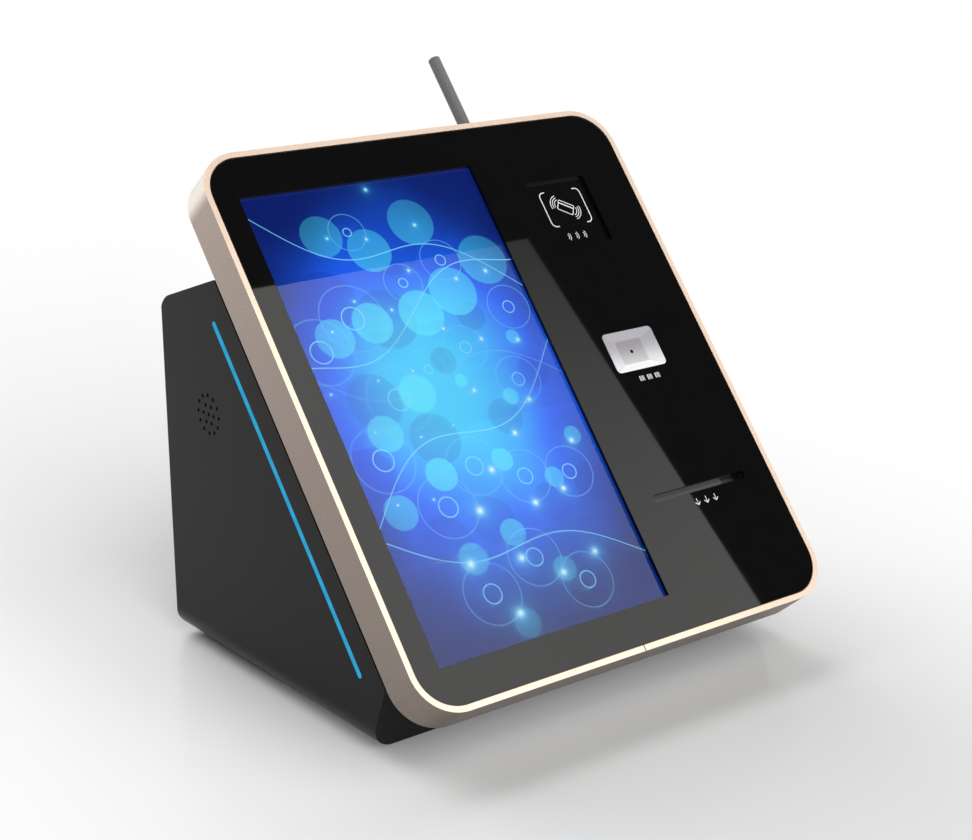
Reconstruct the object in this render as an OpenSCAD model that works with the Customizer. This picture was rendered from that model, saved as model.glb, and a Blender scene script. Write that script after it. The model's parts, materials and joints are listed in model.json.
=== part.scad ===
// Countertop ticket kiosk: a framed touch panel leans on a wedge-shaped body.
// A card reader, a code scanner and a ticket slot stand in a column beside the screen.
// X runs across the front, +Y points to the back and +Z is up. Sizes are in millimetres.

/* [Screen] */
// Width of the picture area
screen_w = 193.6; // [180:0.2:210]
// Height of the picture area
screen_h = 344.2; // [320:0.2:370]
// Gap between the picture and the edge of its window
window_margin = 1; // [0.4:0.2:2]
// Thickness of the touch glass
touch_t = 1.8; // [1:0.2:3]
// How far the touch glass reaches past its window
touch_lap = 8; // [6:0.5:10]
// Thickness of the display module
lcd_t = 4; // [3:0.5:5]
// Dark border of the display module around the picture
lcd_border = 7; // [5:0.5:8]

/* [Front panel] */
// Slope of the panel above the counter, in degrees
tilt = 50; // [46:1:54]
// Gap between the counter and the lowest edge of the frame
panel_lift = 30; // [24:1:40]
// Width of the frame's bright front face
frame_wall = 4.6; // [3.6:0.2:6]
// Depth of the frame, front to back
frame_depth = 31; // [29:1:38]
// Outer corner radius of the frame
frame_corner_r = 32; // [24:1:40]
// Width of the ledge that carries the front plate
ledge_w = 6; // [4:0.5:8]
// Thickness of the ledge
ledge_t = 2; // [1.6:0.2:3]
// Width of the butt seam in the lower run of the frame
seam_gap = 0.3; // [0.2:0.1:0.6]
// Thickness of the black front plate
plate_t = 3; // [2.4:0.2:4]
// How far the plate lies below the frame's front face
plate_sink = 0.5; // [0.2:0.1:1]
// Black border on the outer side of the window
border_side = 18.7; // [17:0.1:26]
// Black border above the window
border_top = 30.2; // [26:0.2:40]
// Black border below the window
border_low = 26.7; // [25:0.2:40]
// Width of the black column beside the window
column_w = 136.5; // [132:0.5:150]

/* [Card reader] */
// Side of the square recess
reader_size = 55.5; // [50:0.5:62]
// Middle of the recess, below the top of the window
reader_drop = 48.8; // [40:0.2:60]
// Thickness of the reader's cover
reader_t = 2; // [1.6:0.2:3]

/* [Code scanner] */
// Width of the pale bezel
scanner_w = 47.4; // [42:0.2:54]
// Height of the pale bezel
scanner_h = 31.8; // [28:0.2:38]
// Corner radius of the bezel
scanner_r = 3.5; // [2:0.5:5]
// Depth of the bezel's dish
scanner_dish = 3.5; // [2.6:0.1:5]
// Width of the dish's flat floor
scanner_floor_w = 23.5; // [18:0.5:28]
// Height of the dish's flat floor
scanner_floor_h = 18.5; // [14:0.5:22]
// Radius of the hole that the scanner looks through
scanner_hole_r = 1.4; // [1:0.1:2]
// Middle of the bezel, below the top of the window
scanner_drop = 166; // [150:1:180]

/* [Ticket slot] */
// Width of the slot
slot_w = 89.4; // [84:0.2:94]
// Height of the slot
slot_h = 5.7; // [5:0.1:8]
// Depth of the pocket behind the slot
slot_depth = 10; // [8:0.5:11]
// Middle of the slot, above the bottom of the window
slot_rise = 68; // [62:1:80]
// Height of the paper throat at the back of the pocket
throat_h = 2.4; // [2:0.1:3]

/* [Body] */
// How far each side of the body stands inside the frame
side_inset = 2; // [1:0.5:5]
// Gap between the frame and the body, bridged by the neck
neck_gap = 5; // [4:0.5:10]
// How far the neck stands inside the body's outline
neck_inset = 10; // [8:0.5:14]
// How far the panel rises past the body's top edge, along the slope
top_overhang = 75; // [65:1:90]
// How far the panel reaches past the body's lower front edge, along the slope
toe_overhang = 35; // [30:1:42]
// Lean of the lower front face, in degrees
toe_lean = 20.5; // [14:0.5:24]
// Depth of the body where it stands
base_depth = 253.5; // [245:0.5:290]
// Fall of the top face towards the back, in degrees
top_slope = 19.5; // [14:0.5:24]
// Wall thickness of the body
wall = 3; // [2.4:0.2:4]
// Radius of the rounded edges along the bottom of the sides
edge_r = 21; // [14:0.5:24]
// Radius of the corner between the top and the back
shoulder_r = 21; // [12:1:26]
// Radius of the corner between the back and the bottom
heel_r = 8.5; // [5:0.5:12]
// Radius of the upright edges at the back
rear_edge_r = 3; // [2:0.5:5]
// Distance of the seams from the sides
seam_inset = 9; // [7:0.5:11]
// Width of the lips inside the side panels
lip_w = 8; // [7:0.5:10]

/* [Base] */
// Height of the rubber feet
foot_h = 3; // [2.4:0.2:6]
// Radius of the rubber feet
foot_r = 9; // [7:0.5:11]
// Thickness of the base plate
base_t = 2.5; // [2:0.5:4]
// Rim of the body's bottom around the base opening
base_rim = 42; // [38:1:50]
// How far the base plate laps over that rim
base_lap = 12; // [10:0.5:16]
// Pitch of the square of fixing holes
fixing_span = 100; // [90:1:104]
// Radius of a fixing hole
fixing_r = 2.75; // [2.2:0.05:3.2]

/* [Lights and sound] */
// Width of a light strip
strip_w = 4.5; // [3.5:0.1:6]
// Light strip's middle line, behind the front edge of the side panel
strip_back = 22; // [18:0.5:28]
// Gap between the strip's upper end and the top of the front edge
strip_top_gap = 20.6; // [16:0.2:40]
// Gap between the strip's lower end and the bottom of the front edge
strip_low_gap = 16.6; // [14:0.2:40]
// Radius of a speaker
speaker_r = 20; // [18:0.5:24]
// Middle of the speaker, in front of the back of the body
speaker_back = 62.7; // [55:0.1:75]
// Middle of the speaker, above the counter
speaker_rise = 186.5; // [176:0.5:196]
// Radius of a grille hole
grille_hole_r = 1.45; // [1:0.05:1.8]
// Spacing of the rings of grille holes
grille_step = 6.9; // [6:0.1:7.5]

/* [Antenna] */
// Antenna's place across the top face
antenna_x = 104.6; // [80:0.1:130]
// Antenna's place behind the front edge of the top face
antenna_back = 38; // [34:1:46]
// Radius of the rod
antenna_r = 4.8; // [4:0.1:5.5]
// Length of the rod from its fold pin to its tip
antenna_len = 139; // [110:1:180]
// Height of the fold pin above the top face
antenna_rise = 20; // [19:0.5:26]

/* [Rear door] */
// Width of the door
door_w = 136; // [126:1:150]
// Height of the door
door_h = 150; // [136:1:170]
// Middle of the door above the counter
door_rise = 110; // [100:1:120]
// How far the door laps over the edge of its opening
door_lap = 6; // [5:0.5:8]
// Thickness of the door
door_t = 2; // [1.6:0.2:3]
// Radius of a hinge knuckle
hinge_r = 4; // [3.4:0.2:5]
// Radius of a hinge pin
hinge_pin_r = 1.5; // [1.2:0.1:2]
// Height of one hinge knuckle
knuckle_h = 14; // [10:1:18]
// Distance between the two hinges
hinge_span = 90; // [70:1:100]
// Radius of the lock's barrel
lock_r = 8; // [7:0.5:9]
// Radius of the lock's turning plug
plug_r = 5; // [4:0.5:5.5]
// Reach of the lock's cam
cam_len = 26; // [25:0.5:30]

/* [Printer] */
// Width of the paper
paper_w = 80; // [76:0.5:82]
// Radius of the platen roller
platen_r = 7; // [6:0.2:8]
// Radius of the platen shaft
platen_shaft_r = 3; // [2.4:0.2:3.6]
// Platen axis behind the printer's front plate
platen_back = 29.5; // [28:0.5:34]
// Depth of the printer's side plates
printer_depth = 74; // [72:1:84]
// Module of the drive gears
gear_module = 0.8; // [0.7:0.05:0.9]
// Teeth of the platen gear
platen_teeth = 45; // [42:1:48]
// Teeth of the motor pinion
pinion_teeth = 15; // [14:1:18]
// Radius of the feed motor
motor_r = 14; // [11:0.5:15]
// Stroke of the cutter blade
cutter_stroke = 6; // [5:0.5:7]

/* [Paper roll] */
// Outer radius of a full roll
roll_r = 40; // [30:1:42]
// Outer radius of the roll's core
core_r = 9; // [8:0.5:12]
// Radius of the spindle
spindle_r = 6; // [5:0.2:7]
// Roll's axis in front of the back of the body
roll_back = 88; // [80:1:95]
// Gap between the roll and the base plate
roll_gap = 6; // [4:0.5:10]

/* [Power] */
// Middle of the mains inlet, from the left side of the body
inlet_inset = 53; // [40:1:60]
// Middle of the power switch, from the left side of the body
switch_inset = 98; // [88:1:110]
// Height of the inlet and the switch above the counter
power_rise = 48; // [40:1:60]
// Tilt of the rocker to either side, in degrees
rocker_tilt = 10; // [6:1:12]
// Width of the power supply
supply_w = 82; // [70:1:86]
// Length of the power supply
supply_l = 99; // [90:1:104]
// Height of the power supply
supply_h = 30; // [24:1:40]

/* [Fits] */
// Gap around a piece that drops into an opening
fit_gap = 0.3; // [0.2:0.05:0.4]
// Radial clearance of a piece that turns
run_gap = 0.05; // [0.02:0.01:0.08]
// Gap around a light strip in its slot
strip_gap = 0.1; // [0.05:0.05:0.2]
// Thickness of sheet-metal and moulded inner pieces
sheet_t = 2; // [1.6:0.2:2.4]

/* [Hidden] */
$fn = 64;
// Overshoot that carries a cut clear through a face
cut = 1;
// Points along each rounded corner of the body's outline
arc_steps = 10;

// Outline of the front panel, seen square on, with its middle at the origin
window_w = screen_w + 2 * window_margin;
window_h = screen_h + 2 * window_margin;
inner_w = border_side + window_w + column_w;
inner_h = border_top + window_h + border_low;
panel_w = inner_w + 2 * frame_wall;
panel_h = inner_h + 2 * frame_wall;
inner_r = frame_corner_r - frame_wall;
window_x = border_side + (window_w - inner_w) / 2;
window_v = (border_low - border_top) / 2;
window_top = window_v + window_h / 2;
window_low = window_v - window_h / 2;
column_x = (inner_w - column_w) / 2;
reader_v = window_top - reader_drop;
scanner_v = window_top - scanner_drop;
slot_v = window_low + slot_rise;

// Depths below the frame's front face of the layers behind the plate
plate_back = plate_sink + plate_t;
ledge_back = plate_back + ledge_t;
touch_back = plate_back + touch_t;
lcd_back = touch_back + lcd_t;
tray_t = 1.2;
tray_back = lcd_back + tray_t;
rail_t = 4;
rail_h = 16;
rail_back = tray_back + rail_t;
cover_front = frame_depth - sheet_t;
lcd_w = screen_w + 2 * lcd_border;
lcd_h = screen_h + 2 * lcd_border;
tray_w = lcd_w + 2 * (fit_gap + tray_t);
tray_h = lcd_h + 2 * (fit_gap + tray_t);

// Places of the rails: one near the top, one above and one below the ticket slot
rail_top_inset = 56;
rail_above_slot = 36;
rail_below_slot = 44;
rail_places = [panel_h / 2 - rail_top_inset, slot_v + rail_above_slot, slot_v - rail_below_slot];

// Blocks that the back cover is screwed to
block_size = 14;
block_x = 110;

// Joiner plate behind the butt seam
joiner_l = 40;
joiner_gap = 1;

// Vent slots in the back cover, above the body
vent_l = 22;
vent_w = 3;
vent_step = 12;
vent_count = 13;
vent_drop = 24;

// Card reader, scanner and ticket mouth behind the plate
reader_lap = 4;
board_t = 1.6;
chip_size = 12;
chip_t = 1.5;
bezel_rim = 1.2;
bezel_lap = 3.5;
bezel_back = plate_sink + scanner_dish + sheet_t;
scanner_body = [38, 26, 18];
lens_r = 4;
lens_t = 2;
mouth_lap = 4;
mouth_rim = 8;
mouth_back = plate_back + slot_depth + 3 * sheet_t;
throat_spare = 4;
throat_w = paper_w + throat_spare;
path_v = slot_v - slot_h / 2 + throat_h / 2;

// Main board behind the display
main_board_w = 150;
main_board_h = 110;
main_board_v = 40;
standoff_h = 6;
standoff_r = 3;
standoff_inset = 8;
processor_size = 40;
processor_t = 2;
heat_sink_h = 6;
fin_count = 7;
fin_t = 2.4;
connector = [60, 14, 5];

// Places relative to the middle of the panel's front face, as [back, up]
function slope_point(v, n) = [v * cos(tilt) - n * sin(tilt), v * sin(tilt) + n * cos(tilt)];

body_w = panel_w - 2 * side_inset;
body_front = -(frame_depth + neck_gap);
crest_v = panel_h / 2 - top_overhang;
toe_v = toe_overhang - panel_h / 2;
top_back = [cos(top_slope), -sin(top_slope)];
top_up = [sin(top_slope), cos(top_slope)];
antenna_foot_at = slope_point(crest_v, body_front) + antenna_back * top_back;
antenna_fold_at = antenna_foot_at + antenna_rise * top_up;
antenna_tip_at = antenna_fold_at + antenna_len * [cos(tilt), sin(tilt)];
front_reach = slope_point(-panel_h / 2, 0)[0];
back_reach = antenna_tip_at[0] + antenna_r * sin(tilt);

// The origin lies on the counter, under the middle of the whole kiosk
panel_at = [-(front_reach + back_reach) / 2,
            panel_lift + panel_h / 2 * sin(tilt) + frame_depth * cos(tilt)];
antenna_foot = panel_at + antenna_foot_at;

// Side outline of the body, as [y, z]
crest = panel_at + slope_point(crest_v, body_front);
toe = panel_at + slope_point(toe_v, body_front);
sole = [toe[0] + (toe[1] - foot_h) * tan(toe_lean), foot_h];
rear_y = sole[0] + base_depth;
heel = [rear_y, foot_h];
shoulder = [rear_y, crest[1] - (rear_y - crest[0]) * tan(top_slope)];
body_outline = [heel, shoulder, crest, toe, sole];
small_r = 2;
sole_r = 2;
body_radii = [heel_r, shoulder_r, small_r, small_r, sole_r];
least_r = 0.4;
seam_x = body_w / 2 - seam_inset;
lip_t = 2;
lip_low = seam_x - lip_w;
lip_high = seam_x + lip_t;

// Neck between the back cover and the body
neck_half = body_w / 2 - neck_inset;
neck_low = toe_v + neck_inset;
neck_top = crest_v - neck_inset;
neck_flange = 8;
neck_open = sheet_t + neck_flange;
seal_t = 0.1;
neck_back = frame_depth + neck_gap - seal_t;

// Rear panel and what is set in it
rear_margin = 4;
rear_low = foot_h + heel_r + rear_margin;
rear_high = shoulder[1] - shoulder_r - rear_margin;

// Base plate and what stands on it
base_low = foot_h + wall;
base_top = base_low + base_t;
base_mid = (sole[0] + rear_y) / 2;
base_open = [body_w - 2 * base_rim, base_depth - 2 * base_rim];
foot_edge = 1;
foot_spread = [body_w / 2 - edge_r - foot_r - foot_edge, base_depth / 2 - base_rim / 2];
tab_gap = 1;
tab_low = base_open[0] / 2 + base_lap + tab_gap;
tab_w = 18;
tab_hole = 5;

// Screws, all alike
screw_r = 1.5;
screw_head_r = 2.75;
screw_head_h = 1.8;
screw_grip = 8;

// Light strips
strip_len = crest_v - toe_v - strip_top_gap - strip_low_gap;
strip_v = (toe_v + strip_low_gap + crest_v - strip_top_gap) / 2;
strip_n = body_front - strip_back;
strip_lip = 2.5;
strip_lip_t = 1.2;
light_count = 16;
light_size = 2.8;
light_t = 1;

// Speakers, measured from the inside of the side panel
cone_r = 5;
cone_depth = 9;
speaker_rim = 3;
speaker_flange_t = 2.5;
magnet_r = 13;
basket_depth = 11;
speaker_depth = 18;

// Rear door, hinges and lock
leaf_w = 11;
leaf_t = 1.5;
hinge_gap = 0.5;
hinge_out = hinge_r + hinge_gap;
hinge_x = seam_x - leaf_w;
door_right = hinge_x - hinge_r - 2 * hinge_gap;
door_left = door_right - door_w;
door_face = fit_gap + door_t;
door_leaf_w = 16;
lock_inset = 21;
lock_x = door_left + lock_inset;
lock_rim = 1.5;
lock_flange_r = lock_r + lock_rim;
nut_rim = 3.5;
lock_nut_r = lock_r + nut_rim;
lock_nut_t = 2.2;
cam_t = 2;
cam_w = 10;
cam_gap = 0.8;
cam_hub_r = 6;
cam_face = -(wall + cam_gap);
stem_r = 3;
key_slot = [1.4, 7, 5];

// Mains inlet and power switch
inlet_x = body_w / 2 - inlet_inset;
switch_x = body_w / 2 - switch_inset;
inlet_body = [27, 20, 22];
inlet_flange = [31, 25, 2.2];
inlet_mouth = [24, 16.6];
inlet_chamfer = 5;
inlet_floor = 15;
inlet_pin = [2, 4, 11];
inlet_pin_x = 7;
inlet_pin_y = 2;
switch_body = [13, 19, 16];
switch_flange = [15, 21, 1.6];
switch_pocket = [10.4, 16.4, 7];
rocker_w = 10;
rocker_half = 7.2;
rocker_top = 3.4;
rocker_dip = 1.9;
rocker_skirt = 2;
keel_half = 3;
keel_depth = 4.2;
rocker_pivot = -1.2;
rocker_pin_r = 1;
rocker_pin_l = 12.2;
corner_r = 2;

// Power supply
supply_gap = 2;
supply_x = -base_open[0] / 2 - base_lap + supply_gap + supply_w / 2;
supply_space = 28;
supply_rear = rear_y - inlet_body[2] - supply_space;
supply_wall = 1.5;
supply_vents = 9;

// Antenna parts, measured along the socket from the top face
socket_r = 3.1;
socket_inner = 7;
socket_hex_r = 5.2;
socket_hex_t = 2.2;
sleeve_r = 4.75;
sleeve_low = socket_hex_t + fit_gap;
ear_in = 2.8;
ear_out = 4.6;
fold_pin_r = 1.2;
tongue_r = 4.2;
fold_space = 2.3;
sleeve_high = antenna_rise - tongue_r - fold_space;
sleeve_cap = 4.5;
socket_outer = sleeve_high - sleeve_cap;
rod_low = 5.4;
rod_chamfer = 0.6;
antenna_lean = 90 - tilt - top_slope;

// Printer, placed by its paper path
printer_front = rail_back + sheet_t;
paper_spare = 4;
printer_half = paper_w / 2 + paper_spare;
printer_back = printer_front + printer_depth;
printer_plate_half = 58;
printer_below = 30;
printer_above = 22;
printer_low = path_v - printer_below;
printer_high = path_v + printer_above;
tie_h = 10;
paper_gap = 0.3;
platen_n = -(printer_front + platen_back);
platen_v = path_v - paper_gap / 2 - platen_r;
platen_spare = 2;
platen_l = paper_w + platen_spare;
gear_t = 5;
gear_slack = 0.06;
pressure_angle = 20;
tooth_top = 0.9;
tooth_root = 1.3;
flank_steps = 4;
gear_x = -(printer_half + sheet_t + fit_gap);
gear_distance = gear_module * (platen_teeth + pinion_teeth) / 2;
pinion_n = platen_n - gear_distance;
motor_l = 20;
motor_shaft_r = 1.2;
pinion_clear_r = gear_module * pinion_teeth / 2 + gear_module + fit_gap;
head_depth = 18;
head_h = 7;
blade_t = 1.2;
blade_gap = 2;
blade_h = 2 * cutter_stroke + blade_gap;
blade_space = 3;
blade_n = -(mouth_back + blade_space);
roll_w = paper_w;
roll_y = rear_y - roll_back;
roll_z = base_top + roll_gap + roll_r;
cheek_t = 3;
cheek_gap = 6;
cheek_half = 22;
cheek_rise = 14;
spindle_over = 4;

// Colours
gold = [0.86, 0.77, 0.69];
glass_black = [0.07, 0.07, 0.07];
body_grey = [0.2, 0.2, 0.205];
dark = [0.12, 0.12, 0.12];
steel = [0.68, 0.69, 0.7];
board_green = [0.1, 0.35, 0.2];
glow_blue = [0.19, 0.63, 0.81];
paper_white = [0.95, 0.95, 0.93];
rod_grey = [0.42, 0.42, 0.42];

// Outline helpers
function unit(p) = p / norm(p);
function turned(p, a) = [p[0] * cos(a) - p[1] * sin(a), p[0] * sin(a) + p[1] * cos(a)];
function half_angle(a, b, c) = acos(unit(a - b) * unit(c - b)) / 2;
function inward(a, b, c) = unit(unit(a - b) + unit(c - b));
function round_corner(a, b, c, r) =
    let (half = half_angle(a, b, c),
         middle = b + inward(a, b, c) * r / sin(half),
         start = b + unit(a - b) * r / tan(half) - middle)
    [for (i = [0:arc_steps]) middle + turned(start, (180 - 2 * half) * i / arc_steps)];
function before(points, i) = points[(i + len(points) - 1) % len(points)];
function after(points, i) = points[(i + 1) % len(points)];
function rounded(points, radii) =
    [for (i = [0:len(points) - 1])
        each round_corner(before(points, i), points[i], after(points, i), radii[i])];
function inset(points, d) =
    [for (i = [0:len(points) - 1])
        let (a = before(points, i), b = points[i], c = after(points, i))
        b + inward(a, b, c) * d / sin(half_angle(a, b, c))];

// Involute tooth outline: half the tooth's angle at radius r
function involute(a) = tan(a) * 180 / PI - a;
function tooth_half(r, teeth) =
    let (pitch_r = gear_module * teeth / 2, base_r = pitch_r * cos(pressure_angle))
    90 / teeth - gear_slack / pitch_r * 180 / PI + involute(pressure_angle)
    - involute(acos(min(1, base_r / r)));
function gear_outline(teeth, first) =
    let (pitch_r = gear_module * teeth / 2,
         low = pitch_r - tooth_root * gear_module,
         high = pitch_r + tooth_top * gear_module,
         radii = [for (i = [0:flank_steps]) low + (high - low) * i / flank_steps])
    [for (t = [0:teeth - 1], side = [-1, 1], i = [0:flank_steps])
        let (r = radii[side < 0 ? i : flank_steps - i],
             a = first + 360 * t / teeth + side * tooth_half(r, teeth))
        [r * cos(a), r * sin(a)]];

// Placing helpers
module on_panel() translate([0, panel_at[0], panel_at[1]]) rotate([tilt, 0, 0]) children();
module slab(front, back) translate([0, 0, -back]) linear_extrude(back - front) children();
module across(low, high) translate([low, 0, 0]) rotate([90, 0, 90]) linear_extrude(high - low) children();
module rod(low, high, r) translate([low, 0, 0]) rotate([0, 90, 0]) cylinder(r = r, h = high - low);
module at_rear(x, z) translate([x, rear_y, z]) rotate([-90, 0, 0]) children();
module on_top() translate([antenna_x, antenna_foot[0], antenna_foot[1]])
    rotate([-top_slope, 0, 0]) children();
module on_side(side) mirror([side < 0 ? 1 : 0, 0, 0]) children();
module in_column(v) translate([column_x, v, 0]) children();
module box_between(low, high) translate(low) cube(high - low);

module rounded_rect(w, h, r) {
    square([w - 2 * r, h], center = true);
    square([w, h - 2 * r], center = true);
    for (x = [-1, 1], y = [-1, 1]) translate([x * (w / 2 - r), y * (h / 2 - r)]) circle(r);
}

module pill(length, w) {
    square([length - w, w], center = true);
    for (x = [-1, 1]) translate([x * (length - w) / 2, 0]) circle(w / 2);
}

// Screw with its head above z = 0, and the hole for it
module screw(grip) {
    cylinder(r = screw_head_r, h = screw_head_h);
    translate([0, 0, -grip]) cylinder(r = screw_r, h = grip);
}
module screw_hole(grip) translate([0, 0, -grip - cut]) cylinder(r = screw_r + run_gap, h = grip + 2 * cut);

// Places of the screws, each with z out of the face
module cover_screw_places() on_panel()
    for (x = [-1, 1], y = [-1, 1])
        translate([x * block_x, y * (inner_h - block_size) / 2, -frame_depth]) rotate([180, 0, 0]) children();
module neck_screw_places() on_panel()
    for (x = [-1, 0, 1], v = [neck_low + neck_open / 2, neck_top - neck_open / 2])
        translate([x * neck_half / 2, v, body_front - wall]) rotate([180, 0, 0]) children();
module base_screw_places()
    for (x = [-1, 0, 1], y = [-1, 1])
        translate([x * (base_open[0] - base_lap) / 2, base_mid + y * (base_open[1] + base_lap) / 2, foot_h])
            rotate([180, 0, 0]) children();
module lip_screw_places()
    for (x = [-1, 1], y = [-1, 1])
        translate([x * (tab_low + tab_hole), base_mid + y * base_depth / 4, foot_h])
            rotate([180, 0, 0]) children();
module rear_screw_places()
    for (x = [-1, 1], z = [rear_low + base_lap, rear_high - base_lap])
        at_rear(x * (seam_x + lip_low) / 2, z) children();

// Front panel
module front_frame() color(gold) on_panel() difference() {
    union() {
        slab(0, frame_depth) difference() {
            rounded_rect(panel_w, panel_h, frame_corner_r);
            rounded_rect(inner_w, inner_h, inner_r);
        }
        slab(plate_back, ledge_back) difference() {
            rounded_rect(inner_w + frame_wall, inner_h + frame_wall, inner_r + frame_wall / 2);
            rounded_rect(inner_w - 2 * ledge_w, inner_h - 2 * ledge_w, inner_r - ledge_w);
        }
    }
    slab(-cut, frame_depth + cut) translate([0, -inner_h / 2])
        square([seam_gap, 2 * (frame_wall + ledge_w + cut)], center = true);
}

module frame_joiner() color(steel) on_panel()
    slab(ledge_back + joiner_gap, cover_front - joiner_gap) translate([-joiner_l / 2, -inner_h / 2])
        square([joiner_l, sheet_t]);

module front_plate() color(glass_black) on_panel() slab(plate_sink, plate_back) difference() {
    rounded_rect(inner_w - 2 * fit_gap, inner_h - 2 * fit_gap, inner_r - fit_gap);
    translate([window_x, window_v]) square([window_w, window_h], center = true);
    in_column(reader_v) square(reader_size, center = true);
    in_column(scanner_v) rounded_rect(scanner_w + 2 * fit_gap, scanner_h + 2 * fit_gap, scanner_r + fit_gap);
    in_column(slot_v) pill(slot_w, slot_h);
}

module touch_glass() color([0.5, 0.55, 0.6, 0.4]) on_panel()
    slab(plate_back, touch_back) translate([window_x, window_v])
        square([window_w + 2 * touch_lap, window_h + 2 * touch_lap], center = true);

module lcd_panel() color([0.05, 0.2, 0.6]) on_panel()
    slab(touch_back, lcd_back) translate([window_x, window_v]) square([lcd_w, lcd_h], center = true);

module lcd_tray() color(steel) on_panel() difference() {
    slab(touch_back, tray_back) translate([window_x, window_v]) square([tray_w, tray_h], center = true);
    slab(touch_back - cut, lcd_back) translate([window_x, window_v])
        square([lcd_w + 2 * fit_gap, lcd_h + 2 * fit_gap], center = true);
}

module cross_rails() color(steel) on_panel()
    for (v = rail_places) slab(tray_back, rail_back) translate([0, v])
        square([inner_w, rail_h], center = true);

module cover_blocks() color(dark) difference() {
    on_panel() for (x = [-1, 1], y = [-1, 1]) slab(ledge_back, cover_front)
        translate([x * block_x, y * (inner_h - block_size) / 2]) square(block_size, center = true);
    cover_screw_places() screw_hole(sheet_t + screw_grip);
}

module neck_outline(d) translate([0, (neck_low + neck_top) / 2])
    square([2 * (neck_half - d), neck_top - neck_low - 2 * d], center = true);

module panel_back_cover() color(dark) difference() {
    on_panel() {
        slab(cover_front, frame_depth) difference() {
            rounded_rect(inner_w - 2 * fit_gap, inner_h - 2 * fit_gap, inner_r - fit_gap);
            neck_outline(sheet_t);
            for (i = [0:vent_count - 1])
                translate([(i - (vent_count - 1) / 2) * vent_step, inner_h / 2 - vent_drop])
                    square([vent_w, vent_l], center = true);
        }
        slab(cover_front, neck_back) difference() {
            neck_outline(0);
            neck_outline(sheet_t);
        }
        slab(neck_back - sheet_t, neck_back) difference() {
            neck_outline(0);
            neck_outline(neck_open);
        }
    }
    cover_screw_places() screw_hole(sheet_t);
    neck_screw_places() screw_hole(wall + sheet_t);
}

module reader_cover() color(glass_black) on_panel() in_column(reader_v)
    slab(plate_back, plate_back + reader_t) square(reader_size + 2 * reader_lap, center = true);

module reader_board() color(board_green) on_panel() in_column(reader_v) {
    low = plate_back + reader_t;
    slab(low, low + board_t) square(reader_size - reader_lap, center = true);
    slab(low + board_t, low + board_t + chip_t) square(chip_size, center = true);
}

// Sloped walls of the scanner's dish, cut from the front
module dish_section(top, floor) polygon([
    [-top / 2, cut - plate_sink], [-top / 2, -plate_sink], [-floor / 2, -plate_sink - scanner_dish],
    [floor / 2, -plate_sink - scanner_dish], [top / 2, -plate_sink], [top / 2, cut - plate_sink]]);

module scanner_bezel() color([0.72, 0.72, 0.72]) on_panel() in_column(scanner_v) difference() {
    union() {
        slab(plate_sink, plate_back + cut) rounded_rect(scanner_w, scanner_h, scanner_r);
        slab(plate_back, bezel_back)
            rounded_rect(scanner_w + 2 * bezel_lap, scanner_h + 2 * bezel_lap, scanner_r + bezel_lap);
    }
    intersection() {
        across(-scanner_w, scanner_w) dish_section(scanner_h - 2 * bezel_rim, scanner_floor_h);
        rotate([90, 0, 0]) linear_extrude(2 * scanner_h, center = true)
            dish_section(scanner_w - 2 * bezel_rim, scanner_floor_w);
    }
    slab(plate_sink, bezel_back + cut) circle(scanner_hole_r);
}

module scanner_module() color(dark) on_panel() in_column(scanner_v) difference() {
    slab(bezel_back, bezel_back + scanner_body[2]) square([scanner_body[0], scanner_body[1]], center = true);
    slab(bezel_back - cut, bezel_back + lens_t) circle(lens_r + run_gap);
}

module scanner_lens() color([0.15, 0.12, 0.2]) on_panel() in_column(scanner_v)
    slab(bezel_back, bezel_back + lens_t) circle(lens_r);

module ticket_mouth() color(dark) on_panel() in_column(slot_v) difference() {
    slab(plate_back, mouth_back) square([slot_w + 2 * mouth_lap, slot_h + 2 * mouth_rim], center = true);
    slab(plate_back - cut, plate_back + slot_depth) pill(slot_w, slot_h);
    slab(plate_back + slot_depth - cut, mouth_back + cut) translate([0, path_v - slot_v])
        square([throat_w, throat_h], center = true);
}

module main_board() color(board_green) on_panel() translate([window_x, main_board_v]) {
    top = tray_back + standoff_h + board_t;
    slab(top - board_t, top) square([main_board_w, main_board_h], center = true);
    slab(top, top + processor_t) square(processor_size, center = true);
    for (side = [-1, 1]) slab(top, top + connector[2])
        translate([0, side * (main_board_h - connector[1]) / 2])
            square([connector[0], connector[1]], center = true);
}

module board_standoffs() color(steel) on_panel() translate([window_x, main_board_v])
    for (x = [-1, 1], y = [-1, 1]) slab(tray_back, tray_back + standoff_h)
        translate([x * (main_board_w / 2 - standoff_inset), y * (main_board_h / 2 - standoff_inset)])
            circle(standoff_r);

module heat_sink() color(dark) on_panel() translate([window_x, main_board_v]) difference() {
    low = tray_back + standoff_h + board_t + processor_t;
    fin_step = processor_size / fin_count;
    slab(low, low + heat_sink_h) square(processor_size, center = true);
    slab(low + sheet_t, low + heat_sink_h + cut) for (i = [1:fin_count - 1])
        translate([i * fin_step - processor_size / 2, 0])
            square([fin_step - fin_t, processor_size + 2 * cut], center = true);
}

// Body
module bottom_section(half, low, r) {
    translate([-half, low + r]) square([2 * half, shoulder[1] + crest[1]]);
    translate([r - half, low]) square([2 * (half - r), 2 * r]);
    for (x = [-1, 1]) translate([x * (half - r), low + r]) circle(r);
}

module plan_section(half, back, r) {
    translate([-half, back - r - 2 * base_depth]) square([2 * half, 2 * base_depth]);
    translate([r - half, back - 2 * r]) square([2 * (half - r), 2 * r]);
    for (x = [-1, 1]) translate([x * (half - r), back - r]) circle(r);
}

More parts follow.
